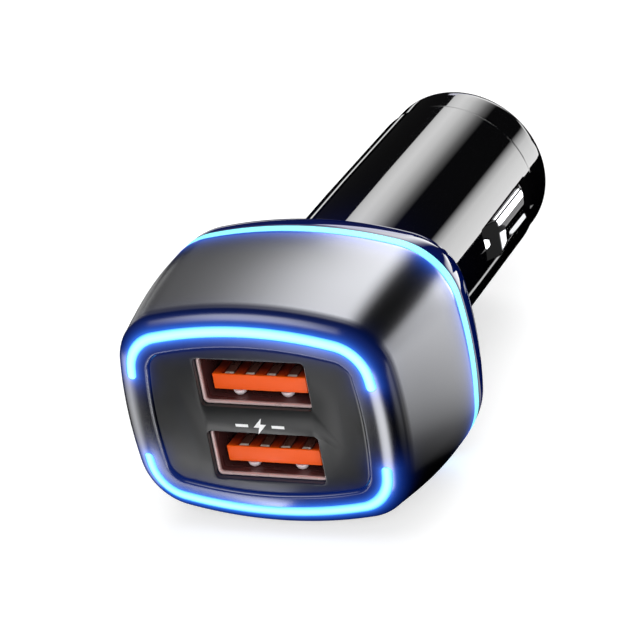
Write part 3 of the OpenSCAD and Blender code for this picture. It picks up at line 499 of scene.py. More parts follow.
# Metal shell of the head
edge_f = (0.38, 0.27, 0.17, 0.09, 0.04, 0.01, 0.0)
edge_rise = (0.0, 0.02, 0.06, 0.12, 0.19, 0.28, 0.38)
inner_edge = [(f, -LIP_IN + rise) for f, rise in zip(edge_f, edge_rise)]
lip = arc(LIP_ROUND, -LIP_FLAT, -LIP_ROUND, LIP_OUT + LIP_FLAT, 0, 86, 22)
side_f = [LIP_ROUND + 0.26, LIP_ROUND + 0.42, *np.linspace(LIP_ROUND + 0.62, SWELL_F, 22)]
side = [(f, shell_o(f)) for f in side_f] + [(f, SWELL) for f in np.linspace(SWELL_F, SHELL_LEN - 0.2, 6)[1:]]
back_edge = [(SHELL_LEN - 0.12, SWELL - 0.02), (SHELL_LEN - 0.04, SWELL - 0.08), (SHELL_LEN, SWELL - 0.2)]
inside = [(f, max(POCKET_O, shell_o(f) - SHELL_WALL)) for f in np.linspace(SHELL_LEN, 4.6, 8)]
profile = inner_edge + lip + [(LIP_ROUND, LIP_OUT)] + side + back_edge + inside
profile += [(4.5, POCKET_O), (LIP_T, POCKET_O), (LIP_T, -LIP_IN)]
shell = make("metal_shell", *loft([ring(f, o) for f, o in profile]))


def strip_half_width(s, length, half):
    """Half width of a strip with round ends at the distance s from its start."""
    e = min(s, length - s)
    return half if e >= half else math.sqrt(max(0.0, half * half - (half - e) ** 2))


def strip_solid(sign, half, front, back, across_steps=9):
    """One light strip with round ends. front(o) gives the depth of its front surface."""
    turn = math.degrees(half / SIDE_R)
    ends = np.concatenate([END_Q + turn * np.array([-1.0, -0.97, -0.88, -0.75, -0.55, -0.3]), strip_q])
    right = [(rim(q, 0), np.array([math.cos(math.radians(q)), math.sin(math.radians(q))])) for q in ends]
    left = [(p * [-1, 1], n * [-1, 1]) for p, n in right[-2::-1]]
    path = right + left
    place = np.array([p for p, n in path])
    s = np.concatenate([[0], np.cumsum(np.linalg.norm(np.diff(place, axis=0), axis=1))])
    verts, edge = [], []
    for (p, n), si in zip(path, s):
        w = max(0.02, strip_half_width(si, s[-1], half))
        for v in np.linspace(-1, 1, across_steps):
            q = p + n * v * w
            verts.append((q[0], front(v * w) - HEAD_LEN, q[1] * sign))
            edge.append(max(abs(v) * w / half, 1 - w / half))
        for v in np.linspace(1, -1, across_steps):
            q = p + n * v * w
            verts.append((q[0], back - HEAD_LEN, q[1] * sign))
            edge.append(1.0)
    m = 2 * across_steps
    faces = []
    for i in range(len(path) - 1):
        a, b = i * m, (i + 1) * m
        faces += [(a + j, a + (j + 1) % m, b + (j + 1) % m, b + j) for j in range(m)]
    faces += [tuple(range(m)), tuple(range((len(path) - 1) * m, len(path) * m))]
    return verts, faces, edge


STRIP_GAP = 0.04
for sign in (1, -1):
    v, f, _ = strip_solid(sign, STRIP_W / 2 + STRIP_GAP, lambda o: -1.0, LIP_T + 1)
    cut(shell, make("slot_cutter", v, f))
add_light_distances(shell)

# Painted shade: the metal's colour is darkened in the crease behind the lip and along the lip's inner side
INNER_SIDE_O = -1.25
crease = distances(coords(shell), ring(LIP_ROUND - 0.3, LIP_OUT))
inner_side = distances(coords(shell), ring(0.0, INNER_SIDE_O))
keep(shell, "crease_mm", np.minimum(crease, 0.1 + 1.5 * inner_side))
finish(shell, gunmetal.material, "charger", ["head_shell"], smooth=28)


# Light guides
def strip_front(o):
    """Depth of a strip's front at the offset o: just proud of the lip, and lower at its borders."""
    return max(0.0, lip_f(o) - 0.02) + 0.06 * (o / (STRIP_W / 2)) ** 4


# The lower strip is lit a little less than the upper one
guide_parts, edges = [], []
for sign in (1, -1):
    v, f, e = strip_solid(sign, STRIP_W / 2, strip_front, LIP_T + 0.05, 13)
    guide_parts.append((v, f))
    edges += e if sign > 0 else [0.3 + 0.7 * x for x in e]
flange = [(LIP_T, -LIP_IN + 0.05), (LIP_T, FLANGE_O), (FLANGE_F, FLANGE_O), (FLANGE_F, -LIP_IN + 0.05)]
hidden_parts = [loft([ring(f, o) for f, o in flange])]
for sx in (-1, 1):
    x0, x1 = sx * LEG_X - LEG_W / 2, sx * LEG_X + LEG_W / 2
    hidden_parts.append(box(x0, x1, LEG_F - HEAD_LEN, LEG_TIP_F - HEAD_LEN, -LEG_HALF_H, LEG_HALF_H))
edges += [1.0] * sum(len(v) for v, f in hidden_parts)
guide = make("front_light_strips", *join(guide_parts + hidden_parts))
keep(guide, "edge", edges)
finish(guide, front_lit.material, "charger", ["front_light_guide"], smooth=40)

RING_IN_O, RING_EDGE = 1.65, 0.15
TAB_X0, TAB_X1, TAB_Z0, TAB_Z1 = 12.7, 16.2, 0.6, 1.4
ring_profile = [(SHELL_LEN + 0.01, RING_IN_O), (SHELL_LEN + 0.01, RING_O - RING_EDGE)]
ring_profile += arc(SHELL_LEN + 0.16, RING_O - RING_EDGE, -RING_EDGE, RING_EDGE, 0, 90, 5)[1:]
ring_profile += [(SHELL_LEN + 0.3, RING_O), (COVER_F - 0.3, RING_O)]
ring_profile += arc(COVER_F - 0.16, RING_O - RING_EDGE, RING_EDGE, RING_EDGE, 90, 0, 5)
ring_profile += [(COVER_F - 0.01, RING_IN_O)]
rear_parts = [loft([ring(f, o) for f, o in ring_profile])]
for sx in (-1, 1):
    x0, x1 = sorted((sx * TAB_X0, sx * TAB_X1))
    rear_parts.append(box(x0, x1, SHELL_LEN + 0.02 - HEAD_LEN, COVER_F - 0.02 - HEAD_LEN, TAB_Z0, TAB_Z1))
rear_guide = make("rear_light_ring", *join(rear_parts))
depth = coords(rear_guide)[:, 1] + HEAD_LEN
front_border = 0.2 * np.clip((depth - SHELL_LEN) / 0.3, 0, 1)
# Painted shade along the ring's back border, where it meets the cover
back_gap_shade = 0.8 * np.clip((depth - COVER_F + 0.3) / 0.29, 0, 1)
keep(rear_guide, "edge", front_border + back_gap_shade)
finish(rear_guide, rear_lit.material, "charger", ["rear_light_guide"])

# Cover behind the ring, barrel and nose
rounding = arc(HEAD_LEN - BACK_ROUND, BACK_O, BACK_ROUND, COVER_O - BACK_O, 90, 0, 25)
outside = [(COVER_F + 0.04, COVER_O - 0.02)] + rounding
rings = [ring(SKIRT_F, SKIRT_IN_O), ring(SKIRT_F, SKIRT_O)]
rings += [ring(COVER_F + 0.02, SKIRT_O), ring(COVER_F + 0.02, COVER_O - 0.1)]
rings += [ring(f, o) for f, o in outside]
back_ring = rings[-1]
neck = circle_ring(HEAD_LEN, NECK_R + 0.05, back_ring)
rings += [back_ring + (neck - back_ring) * t for t in (0.33, 0.66, 1.0)]
neck_in = circle_ring(HEAD_LEN - NECK_LEN, NECK_R + 0.05, back_ring)
inner_ring = ring(HEAD_LEN - NECK_LEN, SKIRT_IN_O)
rings += [neck_in, (neck_in + inner_ring) / 2, inner_ring]
cover = make("rear_shell", *loft(rings))
add_light_distances(cover)
finish(cover, cover_black.material, "charger", ["rear_cover"], smooth=35)


def turned(name, profile, n=192, closed=True, caps=False):
    """Solid turned round the plug's axis from a profile of (radius, distance from the seating face)."""
    return make(name, *loft([circle_ring(y + HEAD_LEN, r, n=n) for r, y in profile], closed, caps))


def smooth_normals(obj, radius_at, slope, tolerance=0.02):
    """Gives the round outer wall even normals with one slope, also beside the cuts in it."""
    mesh = obj.data
    normals = []
    for poly in mesh.polygons:
        for i in poly.loop_indices:
            co = np.array(mesh.vertices[mesh.loops[i].vertex_index].co) / MM
            r = math.hypot(co[0], co[2])
            radial = np.array([co[0], 0, co[2]]) / max(r, 1e-9)
            n = np.array(poly.normal)
            if abs(r - radius_at(co[1])) < tolerance and n @ radial > 0.98:
                n = radial - np.array([0, slope, 0])
                n /= np.linalg.norm(n)
                normals.append(tuple(n))
            else:
                normals.append(tuple(mesh.corner_normals[i].vector))
    mesh.normals_split_custom_set(normals)


def barrel_radius(y):
    """Radius of the barrel at the distance y from its seating face: straight, then slightly tapered."""
    t = max(0.0, (y - SEAT_LEN) / (BARREL_LEN - SEAT_LEN))
    return BARREL_R + (BARREL_TIP_R - BARREL_R) * t


wall_y = [*np.linspace(0.15, SEAT_LEN, 12), *np.linspace(SEAT_LEN, BARREL_LEN - 0.12, 30)[1:]]
barrel_profile = [
    (BORE_R, -NECK_LEN), (NECK_R, -NECK_LEN), (NECK_R, 0.0), (BARREL_R - 0.1, 0.0), (BARREL_R - 0.03, 0.05),
    *((barrel_radius(y), y) for y in wall_y),
    (BARREL_TIP_R - 0.04, BARREL_LEN - 0.03), (BARREL_TIP_R - 0.12, BARREL_LEN), (BORE_R, BARREL_LEN),
    (BORE_R, SIDE_Y + SIDE_LEN / 2),
]
body = turned("plug_barrel", barrel_profile, 256)


def rounded_slot(x0, x1, y0, y1, half, r):
    """Cutter along X with the rounded outline of a slot."""
    loop = rounded_rectangle(y0, y1, -half, half, r)
    return loft([np.array([(x, y, z) for y, z in loop]) for x in (x0, x1)], False, True)


SLOT_GAP_Y, SLOT_GAP_Z, SLOT_R = 0.3, 0.15, 0.5
slot_y0, slot_y1 = SIDE_Y - SLOT_GAP_Y, SIDE_Y + SIDE_LEN + SLOT_GAP_Y
for sx in (-1, 1):
    x0, x1 = sorted((sx * CUT_X_IN, sx * CUT_X_OUT))
    cut(body, make("slot_cutter", *rounded_slot(x0, x1, slot_y0, slot_y1, SIDE_W / 2 + SLOT_GAP_Z, SLOT_R)))
add_light_distances(body)
finish(body, barrel_black.material, "charger", ["barrel"], smooth=30)
smooth_normals(body, barrel_radius, (BARREL_TIP_R - BARREL_R) / BARREL_LEN)

nose_end = BARREL_LEN + NOSE_LEN
NOSE_ROUND = 2.4
PIN_HOLE_R, PIN_ROOM_R, SLEEVE_IN_R, SLEEVE_R, SLEEVE_Y = 3.48, 4.98, 7.35, 8.65, 28.2
round_start = nose_end - NOSE_ROUND
nose_profile = [
    (PIN_HOLE_R, nose_end - 2.5), (PIN_ROOM_R, nose_end - 2.5), (PIN_ROOM_R, 32.0), (SLEEVE_IN_R, 31.0),
    (SLEEVE_IN_R, SLEEVE_Y), (SLEEVE_R, SLEEVE_Y), (SLEEVE_R, BARREL_LEN),
    (NOSE_R - 0.1, BARREL_LEN), (NOSE_R - 0.03, BARREL_LEN + 0.04), (NOSE_R, BARREL_LEN + 0.14),
    *((NOSE_R, y) for y in np.linspace(BARREL_LEN + 0.6, round_start, 5)[:-1]),
    *arc(NOSE_FACE_R, round_start, NOSE_R - NOSE_FACE_R, NOSE_ROUND, 0, 90, 25),
    (PIN_HOLE_R + 0.2, nose_end), (PIN_HOLE_R + 0.05, nose_end - 0.05), (PIN_HOLE_R, nose_end - 0.2),
]
nose = turned("nose_cap_round", nose_profile, 256)
for sx in (-1, 1):
    x0, x1 = sorted((sx * CUT_X_IN, sx * CUT_X_OUT))
    cut(nose, make("notch_cutter", *box(x0, x1, 27.0, slot_y1, -3.45, 3.45)))
finish(nose, black.material, "charger", ["nose_cap"], smooth=30)

PIN_R, PIN_STEM_R, PIN_FLANGE_R, PIN_END_R, PIN_ROUND, PIN_END = 3.4, 2.5, 4.9, 2.0, 1.4, 42.8
pin_profile = [
    (0.01, 38.1), (PIN_STEM_R, 38.1), (PIN_STEM_R, 35.3),
    (PIN_FLANGE_R, 35.3), (PIN_FLANGE_R, 36.5), (PIN_R, 36.5),
    *arc(PIN_END_R, PIN_END - PIN_ROUND, PIN_ROUND, PIN_ROUND, 0, 90, 16),
    (0.01, PIN_END),
]
pin = turned("tip_pin", pin_profile, 128, closed=False, caps=True)
finish(pin, chrome.material, "tip", ["tip_contact"], smooth=30)

# Side contacts
contact_metal = Shader("bright_shoe", (0.82, 0.83, 0.85), 0.07, 1.0).surface(150, 0.04, 0.2)
# Painted dark reflection: the shoe's colour is darkened on its sloped ends and in one band along it, while
# the dimple stays bright
contact_metal.paint_shade_near("shoe_shade_mm", 2.8, 3.1, 0.008)

SHOE_X, RAMP_X, FLAT_X, RAMP_LEN, CREST_LEN = 7.2, 9.2, 11.0, 2.9, 1.8
CROWN_Z, CROWN_SLOPE, FLANK_SLOPE = 0.9, 0.141, 0.466
SHOE_EDGE, WING_Z0, WING_Z1, WING_X = 0.2, 2.2, 3.15, 8.1
SPOT_Y, SPOT_R, SPOT_SQUEEZE = SIDE_Y + 1.15, 0.62, 1.15
# The value that keeps the dimple bright, and the height and half width of the band of painted dark reflection
SPOT_VALUE, DARK_Z, DARK_HALF = 3.4, 1.03, 0.36


def is_spot(y, z):
    """Whether a point of the shoe is in the dimple on its front slope."""
    return math.hypot((y - SPOT_Y) * SPOT_SQUEEZE, z) < SPOT_R


def shoe_x(y, z):
    """How far the shoe's surface stands from the plug's axis."""
    e = min(y - SIDE_Y, SIDE_Y + SIDE_LEN - y)
    rise = math.sin(math.pi / 2 * min(1.0, max(0.0, e - RAMP_LEN) / CREST_LEN))
    ramp = RAMP_X + (FLAT_X - RAMP_X) * min(1.0, e / RAMP_LEN) + (SIDE_CREST - FLAT_X) * rise
    crown = SIDE_CREST - CROWN_SLOPE * min(abs(z), CROWN_Z) - FLANK_SLOPE * max(0.0, abs(z) - CROWN_Z)
    x = min(ramp, crown) - 0.02
    edge_z = SIDE_W / 2 - abs(z)
    if edge_z < SHOE_EDGE:
        x -= SHOE_EDGE - math.sqrt(max(0.0, SHOE_EDGE**2 - (SHOE_EDGE - edge_z) ** 2))
    if is_spot(y, z):
        x -= 0.08 + 0.13 * z
    return x


def shoe(sign):
    """Sloped and rounded shoe, with retaining edges inside the barrel."""
    y0, y1, half = SIDE_Y, SIDE_Y + SIDE_LEN, SIDE_W / 2
    ny, nz = 136, 45
    verts, faces = [], []
    for i in range(ny + 1):
        y = y0 + (y1 - y0) * i / ny
        for j in range(nz):
            z = -half + 2 * half * j / (nz - 1)
            verts.append((sign * shoe_x(y, z), y, z))
    for i in range(ny):
        for j in range(nz - 1):
            a = i * nz + j
            faces.append((a, a + 1, a + nz + 1, a + nz))
    base = len(verts)
    loop = list(range(nz)) + [i * nz + nz - 1 for i in range(1, ny + 1)]
    loop += [ny * nz + j for j in range(nz - 2, -1, -1)] + [i * nz for i in range(ny - 1, 0, -1)]
    for k in loop:
        verts.append((sign * SHOE_X, verts[k][1], verts[k][2]))
    m = len(loop)
    for k in loop:
        verts.append((verts[k][0] - sign * 0.05, verts[k][1], verts[k][2]))
    for k in range(m):
        faces.append((loop[k], base + m + k, base + m + (k + 1) % m, loop[(k + 1) % m]))
    faces += [(base + m + k, base + k, base + (k + 1) % m, base + m + (k + 1) % m) for k in range(m)]
    faces.append(tuple(base + k for k in range(m)))
    parts = [(np.array(verts), faces)]
    for s in (-1, 1):
        z0, z1 = sorted((s * WING_Z0, s * WING_Z1))
        x0, x1 = sorted((sign * SHOE_X, sign * WING_X))
        parts.append(box(x0, x1, y0, y1, z0, z1))
    return join(parts)


def shoe_shade_value(y, z):
    """Value that places the painted dark reflection on the shoe: below 2.8, on its slopes and in one band,
    its colour is painted dark; above 3.1 it is left bright.
    """
    if is_spot(y, z):
        return SPOT_VALUE
    band = 2.7 + 3 * max(0.0, abs(z - DARK_Z) - DARK_HALF)
    return min(y - SIDE_Y, SIDE_Y + SIDE_LEN - y, band)


for sign, side_name in ((-1, "left"), (1, "right")):
    contact = make("side_shoe_" + side_name, *shoe(sign))
    keep(contact, "shoe_shade_mm", [shoe_shade_value(y, z) for x, y, z in coords(contact)])
    nodes = ["side_contact_" + side_name]
    finish(contact, contact_metal.material, "contact_" + side_name, nodes, smooth=35)


# Springs
def coil(coil_r, wire_r, length, turns, place):
    """Coil spring with closed ends. place turns its own (x, y, along) into the part's frame."""
    steps, sides = 28, 10
    n = steps * turns
    closed = 1 / turns

    def climb(t):
        if t < closed:
            return 0.15 * t / closed
        if t > 1 - closed:
            return 0.85 + 0.15 * (t - 1 + closed) / closed
        return 0.15 + 0.7 * (t - closed) / (1 - 2 * closed)

    rings = []
    for i in range(n + 1):
        a = 2 * math.pi * i / steps
        height = wire_r + (length - 2 * wire_r) * climb(i / n)
        points = []
        for b in np.linspace(0, 2 * math.pi, sides, endpoint=False):
            r = coil_r + wire_r * math.cos(b)
            points.append(place(r * math.cos(a), r * math.sin(a), height + wire_r * math.sin(b)))
        rings.append(np.array(points))
    return loft(rings, False, True)


tip_coil = coil(coil_r=2.1, wire_r=0.3, length=10.3, turns=8, place=lambda a, b, t: (a, 27.8 + t, b))
spring = make("tip_coil", *tip_coil)
finish(spring, spring_steel.material, "charger", ["tip_spring"])
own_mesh(spring)
for sign, side_name in ((-1, "left"), (1, "right")):
    side_coil = coil(coil_r=1.5, wire_r=0.2, length=3.9, turns=5,
                     place=lambda a, b, t, s=sign: (s * (5.1 + t), 24.0 + a, b))
    spring = make("side_coil_" + side_name, *side_coil)
    finish(spring, spring_steel.material, "charger", ["side_spring_" + side_name])
    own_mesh(spring)

# Face panel
panel_rings = [(PANEL_F + 0.12, PANEL_O), (PANEL_F + 0.04, PANEL_O - 0.04), (PANEL_F, PANEL_O - 0.14)]
face_o = [PANEL_O - d for d in (0.25, 0.4, 0.6, 0.85, 1.1, 1.4, 1.8, 2.3)]
PANEL_BACK_F, PANEL_STEP = 4.2, 1.1
front_profile = [(FLANGE_F, PANEL_O), *panel_rings, *((PANEL_F, o) for o in face_o)]
verts, faces = loft([ring(f, o) for f, o in front_profile], False)
n = len(outline(0))
m = len(front_profile)
faces.append(tuple(range((m - 1) * n, m * n)))
back_rings = [
    ring(FLANGE_F, FLANGE_O), ring(PANEL_BACK_F, FLANGE_O), ring(PANEL_BACK_F, PANEL_O - PANEL_STEP),
    ring(PANEL_F + PANEL_T, PANEL_O - PANEL_STEP),
]
for a, b in ((0, m), (m, m + 1), (m + 1, m + 2), (m + 2, m + 3)):
    faces += [(a * n + j, a * n + (j + 1) % n, b * n + (j + 1) % n, b * n + j) for j in range(n)]
faces.append(tuple(range((m + 3) * n, (m + 4) * n)))
panel = make("port_panel", np.vstack([verts, *back_rings]), faces)


def rect_ring(f, w, h, r, zc):
    """Rounded rectangle of w by h at depth f and height zc."""
    p = np.array(rounded_rectangle(-w / 2, w / 2, -h / 2, h / 2, r))
    return np.column_stack([p[:, 0], np.full(len(p), f - HEAD_LEN), p[:, 1] + zc])


HOLE_W, HOLE_H = PORT_W + 2 * PORT_SHEET + 0.1, PORT_H + 2 * PORT_SHEET + 0.1
flare = [(PANEL_F - 1, 0.12), (PANEL_F, 0.12), (PANEL_F + 0.03, 0.05), (PANEL_F + 0.12, 0.0), (5.2, 0.0)]
for sz in (-1, 1):
    rings = [rect_ring(f, HOLE_W + 2 * g, HOLE_H + 2 * g, 0.55 + g, sz * PORT_PITCH / 2) for f, g in flare]
    cut(panel, make("port_cutter", *loft(rings, False, True)))
LEG_GAP = 0.2
leg_half, leg_z = LEG_W / 2 + LEG_GAP, LEG_HALF_H + LEG_GAP
for sx in (-1, 1):
    x0, x1 = sx * LEG_X - leg_half, sx * LEG_X + leg_half
    cut(panel, make("leg_cutter", *box(x0, x1, LIP_T - HEAD_LEN, 5 - HEAD_LEN, -leg_z, leg_z)))
add_light_distances(panel)
finish(panel, charcoal.material, "charger", ["face_panel"], smooth=25)

# Ports
TONGUE_F, TONGUE_W, TONGUE_T, TONGUE_DROP = 2.14, 11.1, 1.85, 1.7
CHANNEL, CHANNEL_W, BACK_F = 0.35, 1.5, 9.8
STUD_R, STUD_X, STUD_RISE = 0.78, 2.85, 0.7
CONTACT_W, CONTACT_T = 1.0, 0.25
contact_x = (-3.75, -1.25, 1.25, 3.75)


def port_wall(zc):
    """Sheet wall of a port, with rounded front edges and rings close together where its painted shade sets
    in.
    """
    e, s = 0.1, PORT_SHEET
    lip_points = [(PORT_F + e, 0.0), (PORT_F + 0.03, -0.03), (PORT_F, -e)]
    lip_points += [(PORT_F, e - s), (PORT_F + 0.03, 0.03 - s)]
    inner = [(PORT_F + d, -s) for d in (e, 0.25, 0.6, 1.2, 2.4, 4.0, 8.0)]
    w, h = PORT_W + 2 * s, PORT_H + 2 * s
    wall = [(BOARD_F, 0.0)] + lip_points + inner + [(BOARD_F, -s)]
    return loft([rect_ring(f, w + 2 * o, h + 2 * o, 0.6 + o, zc) for f, o in wall])


def port_stud(sx, zc):
    """Round bump on the floor of a port, under the tongue."""
    x, y = sx * STUD_X, TONGUE_F + STUD_R - HEAD_LEN
    a = np.linspace(0, 2 * math.pi, 40, endpoint=False)
    rings = []
    for t in np.linspace(0, math.pi / 2 - 0.03, 14):
        r, z = STUD_R * math.cos(t), zc - PORT_H / 2 + STUD_RISE - STUD_R * math.sin(t)
        rings.append(np.column_stack([x + r * np.cos(a), y + r * np.sin(a), np.full(len(a), z)]))
    return loft(rings, False, True)


def cut_channels(obj, front_f, top, above):
    """Cuts the channels of the contacts into the top of obj."""
    for x in contact_x:
        x0, x1 = x - CHANNEL_W / 2, x + CHANNEL_W / 2
        channel = box(x0, x1, front_f - HEAD_LEN, BOARD_F + 1 - HEAD_LEN, top - CHANNEL, top + above)
        cut(obj, make("channel_cutter", *channel))


def port_tongue(name, zc, top):
    """Tongue and the block behind it, with channels for the contacts."""
    half, y0, y1 = TONGUE_W / 2, TONGUE_F - HEAD_LEN, BOARD_F - HEAD_LEN
    tongue = make("port_tongue_" + name, *box(-half, half, y0, y1, top - TONGUE_T, top))
    cut_channels(tongue, TONGUE_F + 0.3, top, 1)
    bevel(tongue, 0.09, 3)
    block = ((BACK_F, 0.1), (BACK_F + 0.05, 0.0), (BOARD_F, 0.0))
    rings = [rect_ring(f, PORT_W - 0.1 - g, PORT_H - 0.1 - g, 0.3, zc) for f, g in block]
    back = make("back_block", *loft(rings, False, True))
    cut_channels(back, 9, top, 0.3)
    bm = bmesh.new()
    bm.from_mesh(tongue.data)
    bm.from_mesh(back.data)
    bm.to_mesh(tongue.data)
    bm.free()
    bpy.data.objects.remove(back)
    return tongue


def port_contacts(name, z0):
    """The four contacts, each with one bend that stands above its channel."""
    bend = ((0, 0.0), (0.6, 0.01), (1.3, 0.08), (2.0, 0.2), (2.6, 0.25), (3.2, 0.19), (3.8, 0.06), (4.3, 0.0))
    y0 = TONGUE_F + 0.4 - HEAD_LEN
    lower = [(y0 + y, z0 + z) for y, z in bend] + [(BOARD_F - HEAD_LEN, z0)]
    parts = []
    for x in contact_x:
        x0, x1 = x - CONTACT_W / 2, x + CONTACT_W / 2
        strip = []
        for y, z in lower:
            strip.append(np.array([(x0, y, z), (x1, y, z), (x1, y, z + CONTACT_T), (x0, y, z + CONTACT_T)]))
        parts.append(loft(strip, False, True))
    contacts = make("port_contacts_" + name, *join(parts))
    bevel(contacts, 0.05, 2, 50)
    return contacts


for sz, name in ((1, "upper"), (-1, "lower")):
    zc = sz * PORT_PITCH / 2
    top = zc - TONGUE_DROP + TONGUE_T
    parts = [port_wall(zc)] + [port_stud(sx, zc) for sx in (-1, 1)]
    port = make("port_shell_" + name, *join(parts))
    # The walls' painted shade stops at depth 0.8, and the studs are set to depth 1 for their pale colour
    depth = port_depth(port)
    wall_count = len(parts[0][0])
    depth[:wall_count] = np.minimum(depth[:wall_count], 0.8)
    depth[wall_count:] = 1.0
    keep(port, "depth", depth)
    finish(port, port_steel.material, "charger", ["usb_shell_" + name], smooth=40)

    tongue = port_tongue(name, zc, top)
    keep(tongue, "depth", port_depth(tongue))
    finish(tongue, orange.material, "charger", ["usb_tongue_" + name])

    contacts = port_contacts(name, top - CHANNEL)
    keep(contacts, "depth", port_depth(contacts))
    finish(contacts, gold.material, "charger", ["usb_contacts_" + name], smooth=40)

# Generic mark printed between the ports
MARK_F, MARK_Z = PANEL_F - 0.012, -0.6
DASH_X0, DASH_X1, DASH_HALF = 1.4, 2.9, 0.17
bolt = [(0.3, 1.0), (-0.78, -0.16), (-0.12, -0.16), (-0.36, -1.0), (0.78, 0.24), (0.1, 0.24)]
dash_left = [(-DASH_X1, DASH_HALF), (-DASH_X0, DASH_HALF), (-DASH_X0, -DASH_HALF), (-DASH_X1, -DASH_HALF)]
dash_right = [(DASH_X0, DASH_HALF), (DASH_X1, DASH_HALF), (DASH_X1, -DASH_HALF), (DASH_X0, -DASH_HALF)]
marks = []
for points in (bolt, dash_left, dash_right):
    rings = [np.array([(x, f - HEAD_LEN, z + MARK_Z) for x, z in points]) for f in (MARK_F, PANEL_F + 0.05)]
    marks.append(loft(rings, False, True))
mark = make("charge_mark", *join(marks))
finish(mark, print_white.material, "charger")

# Finish of the CAD nodes that show as they are
for names, shader in (
    (("tip_terminal", "ground_bracket"), brass),
    (("port_board", "main_board"), board),
    (("inductor_core",), ferrite),
    (("inductor_winding",), copper),
    (("input_capacitor",), sleeve),
    (("output_capacitor",), can),
    (("converter_chip", "port_chip", "rectifier_diode"), chip_black),
    (("small_passives",), chip_tan),
    (("front_leds", "rear_leds"), lamp),
):
    for name in names:
        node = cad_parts[name]
        if not node.material_slots:
            node.data.materials.append(shader.material)
        for slot in node.material_slots:
            slot.material = shader.material

# Floor, lights, world and camera
FLOOR_Z = cad_box[0][2]
FLOOR_HALF = 4
FLOOR_TONE, FLOOR_GLOW = 0.6, 0.62


def empty_material(name):
    """A material without a shader, its nodes and its links."""
    material = bpy.data.materials.new(name)
    material.use_nodes = True
    nodes = material.node_tree.nodes
    nodes.remove(nodes["Principled BSDF"])
    return material, nodes, material.node_tree.links


corners = [(x * FLOOR_HALF, y * FLOOR_HALF, FLOOR_Z) for x, y in ((-1, -1), (1, -1), (1, 1), (-1, 1))]
mesh = bpy.data.meshes.new("floor")
mesh.from_pydata(corners, [], [(0, 1, 2, 3)])
floor = linked_object("floor", mesh)

# The floor glows only where it is seen, straight or in a reflection, so it throws no more light
ground, nodes, links = empty_material("pale_floor")
diffuse = nodes.new("ShaderNodeBsdfDiffuse")
diffuse.inputs[0].default_value = (FLOOR_TONE, FLOOR_TONE, FLOOR_TONE, 1)
glow = nodes.new("ShaderNodeEmission")
path = nodes.new("ShaderNodeLightPath")
seen = path.outputs["Is Camera Ray"]
for ray in ("Is Glossy Ray", "Is Transmission Ray"):
    either = nodes.new("ShaderNodeMath")
    either.operation = "MAXIMUM"
    links.new(seen, either.inputs[0])
    links.new(path.outputs[ray], either.inputs[1])
    seen = either.outputs[0]
level = nodes.new("ShaderNodeMath")
level.operation = "MULTIPLY"
level.inputs[1].default_value = FLOOR_GLOW
add = nodes.new("ShaderNodeAddShader")
links.new(seen, level.inputs[0])
links.new(level.outputs[0], glow.inputs["Strength"])
links.new(diffuse.outputs[0], add.inputs[0])
links.new(glow.outputs[0], add.inputs[1])
links.new(add.outputs[0], nodes["Material Output"].inputs["Surface"])
mesh.materials.append(ground)


def softbox(name, direction, distance, width, height, radiance):
    """Flat soft light, facing the object from a direction. The cards below stand for it in reflections."""
    light = bpy.data.lights.new(name, "AREA")
    light.shape, light.size, light.size_y = "RECTANGLE", width, height
    light.energy = radiance * math.pi * width * height
    obj = linked_object(name, light)
    d = Vector(direction).normalized()
    obj.matrix_world = Matrix.Translation(d * distance) @ d.to_track_quat("Z", "Y").to_matrix().to_4x4()
    obj.visible_camera = False
    obj.visible_glossy = False


def card(name, grid, levels, tint=(1, 1, 1)):
    """Glowing card that only reflections show. grid holds rows of points in m, levels their brightness."""
    rows, cols = len(grid), len(grid[0])
    faces = []
    for i in range(rows - 1):
        a, b = i * cols, (i + 1) * cols
        faces += [(a + j, a + j + 1, b + j + 1, b + j) for j in range(cols - 1)]
    mesh = bpy.data.meshes.new(name)
    mesh.from_pydata([tuple(p) for row in grid for p in row], [], faces)
    mesh.attributes.new("level", "FLOAT", "POINT").data.foreach_set("value", np.array(levels, float).ravel())
    material, nodes, links = empty_material(name)
    glow = nodes.new("ShaderNodeEmission")
    glow.inputs["Color"].default_value = (*tint, 1)
    place = nodes.new("ShaderNodeAttribute")
    place.attribute_name = "level"
    links.new(place.outputs["Fac"], glow.inputs["Strength"])
    links.new(glow.outputs[0], nodes["Material Output"].inputs["Surface"])
    mesh.materials.append(material)
    obj = linked_object(name, mesh)
    for kind in ("camera", "diffuse", "transmission", "volume_scatter", "shadow"):
        setattr(obj, "visible_" + kind, False)


def level_at(x, stops):
    """The level at x, between stops of (value, level)."""
    return float(np.interp(x, [a for a, b in stops], [b for a, b in stops]))


def spread_levels(us, vs, across, along):
    return [[level_at(u, across) * level_at(v, along) for u in us] for v in vs]


CARD_DISTANCE = 1.5


def sky_card(name, turns, tilts, tint=(1, 1, 1)):
    """Card on a sphere, with (degrees, level) stops.

    Turns run round the plug's axis from +X to +Z, and tilts away from +Y.
    """
    us = np.linspace(turns[0][0], turns[-1][0], 49)
    vs = np.linspace(tilts[0][0], tilts[-1][0], 17)
    grid = []
    for tilt in np.radians(vs):
        out, along_y = CARD_DISTANCE * math.sin(tilt), CARD_DISTANCE * math.cos(tilt)
        grid.append([(out * math.cos(turn), along_y, out * math.sin(turn)) for turn in np.radians(us)])
    card(name, grid, spread_levels(us, vs, turns, tilts), tint)


CARD_Z = FLOOR_Z + 0.0004


def fan_card(name, centre, turns, reaches):
    """Card on the floor round a centre in mm, with (value, level) stops.

    Turns run from -Y to +X in degrees, and reaches outwards in mm.
    """
    us = np.linspace(turns[0][0], turns[-1][0], 33)
    vs = np.linspace(reaches[0][0], reaches[-1][0], 17)
    grid = []
    for v in vs:
        points = [(centre[0] + v * math.sin(turn), centre[1] - v * math.cos(turn)) for turn in np.radians(us)]
        grid.append([(x * MM, y * MM, CARD_Z) for x, y in points])
    card(name, grid, spread_levels(us, vs, turns, reaches))


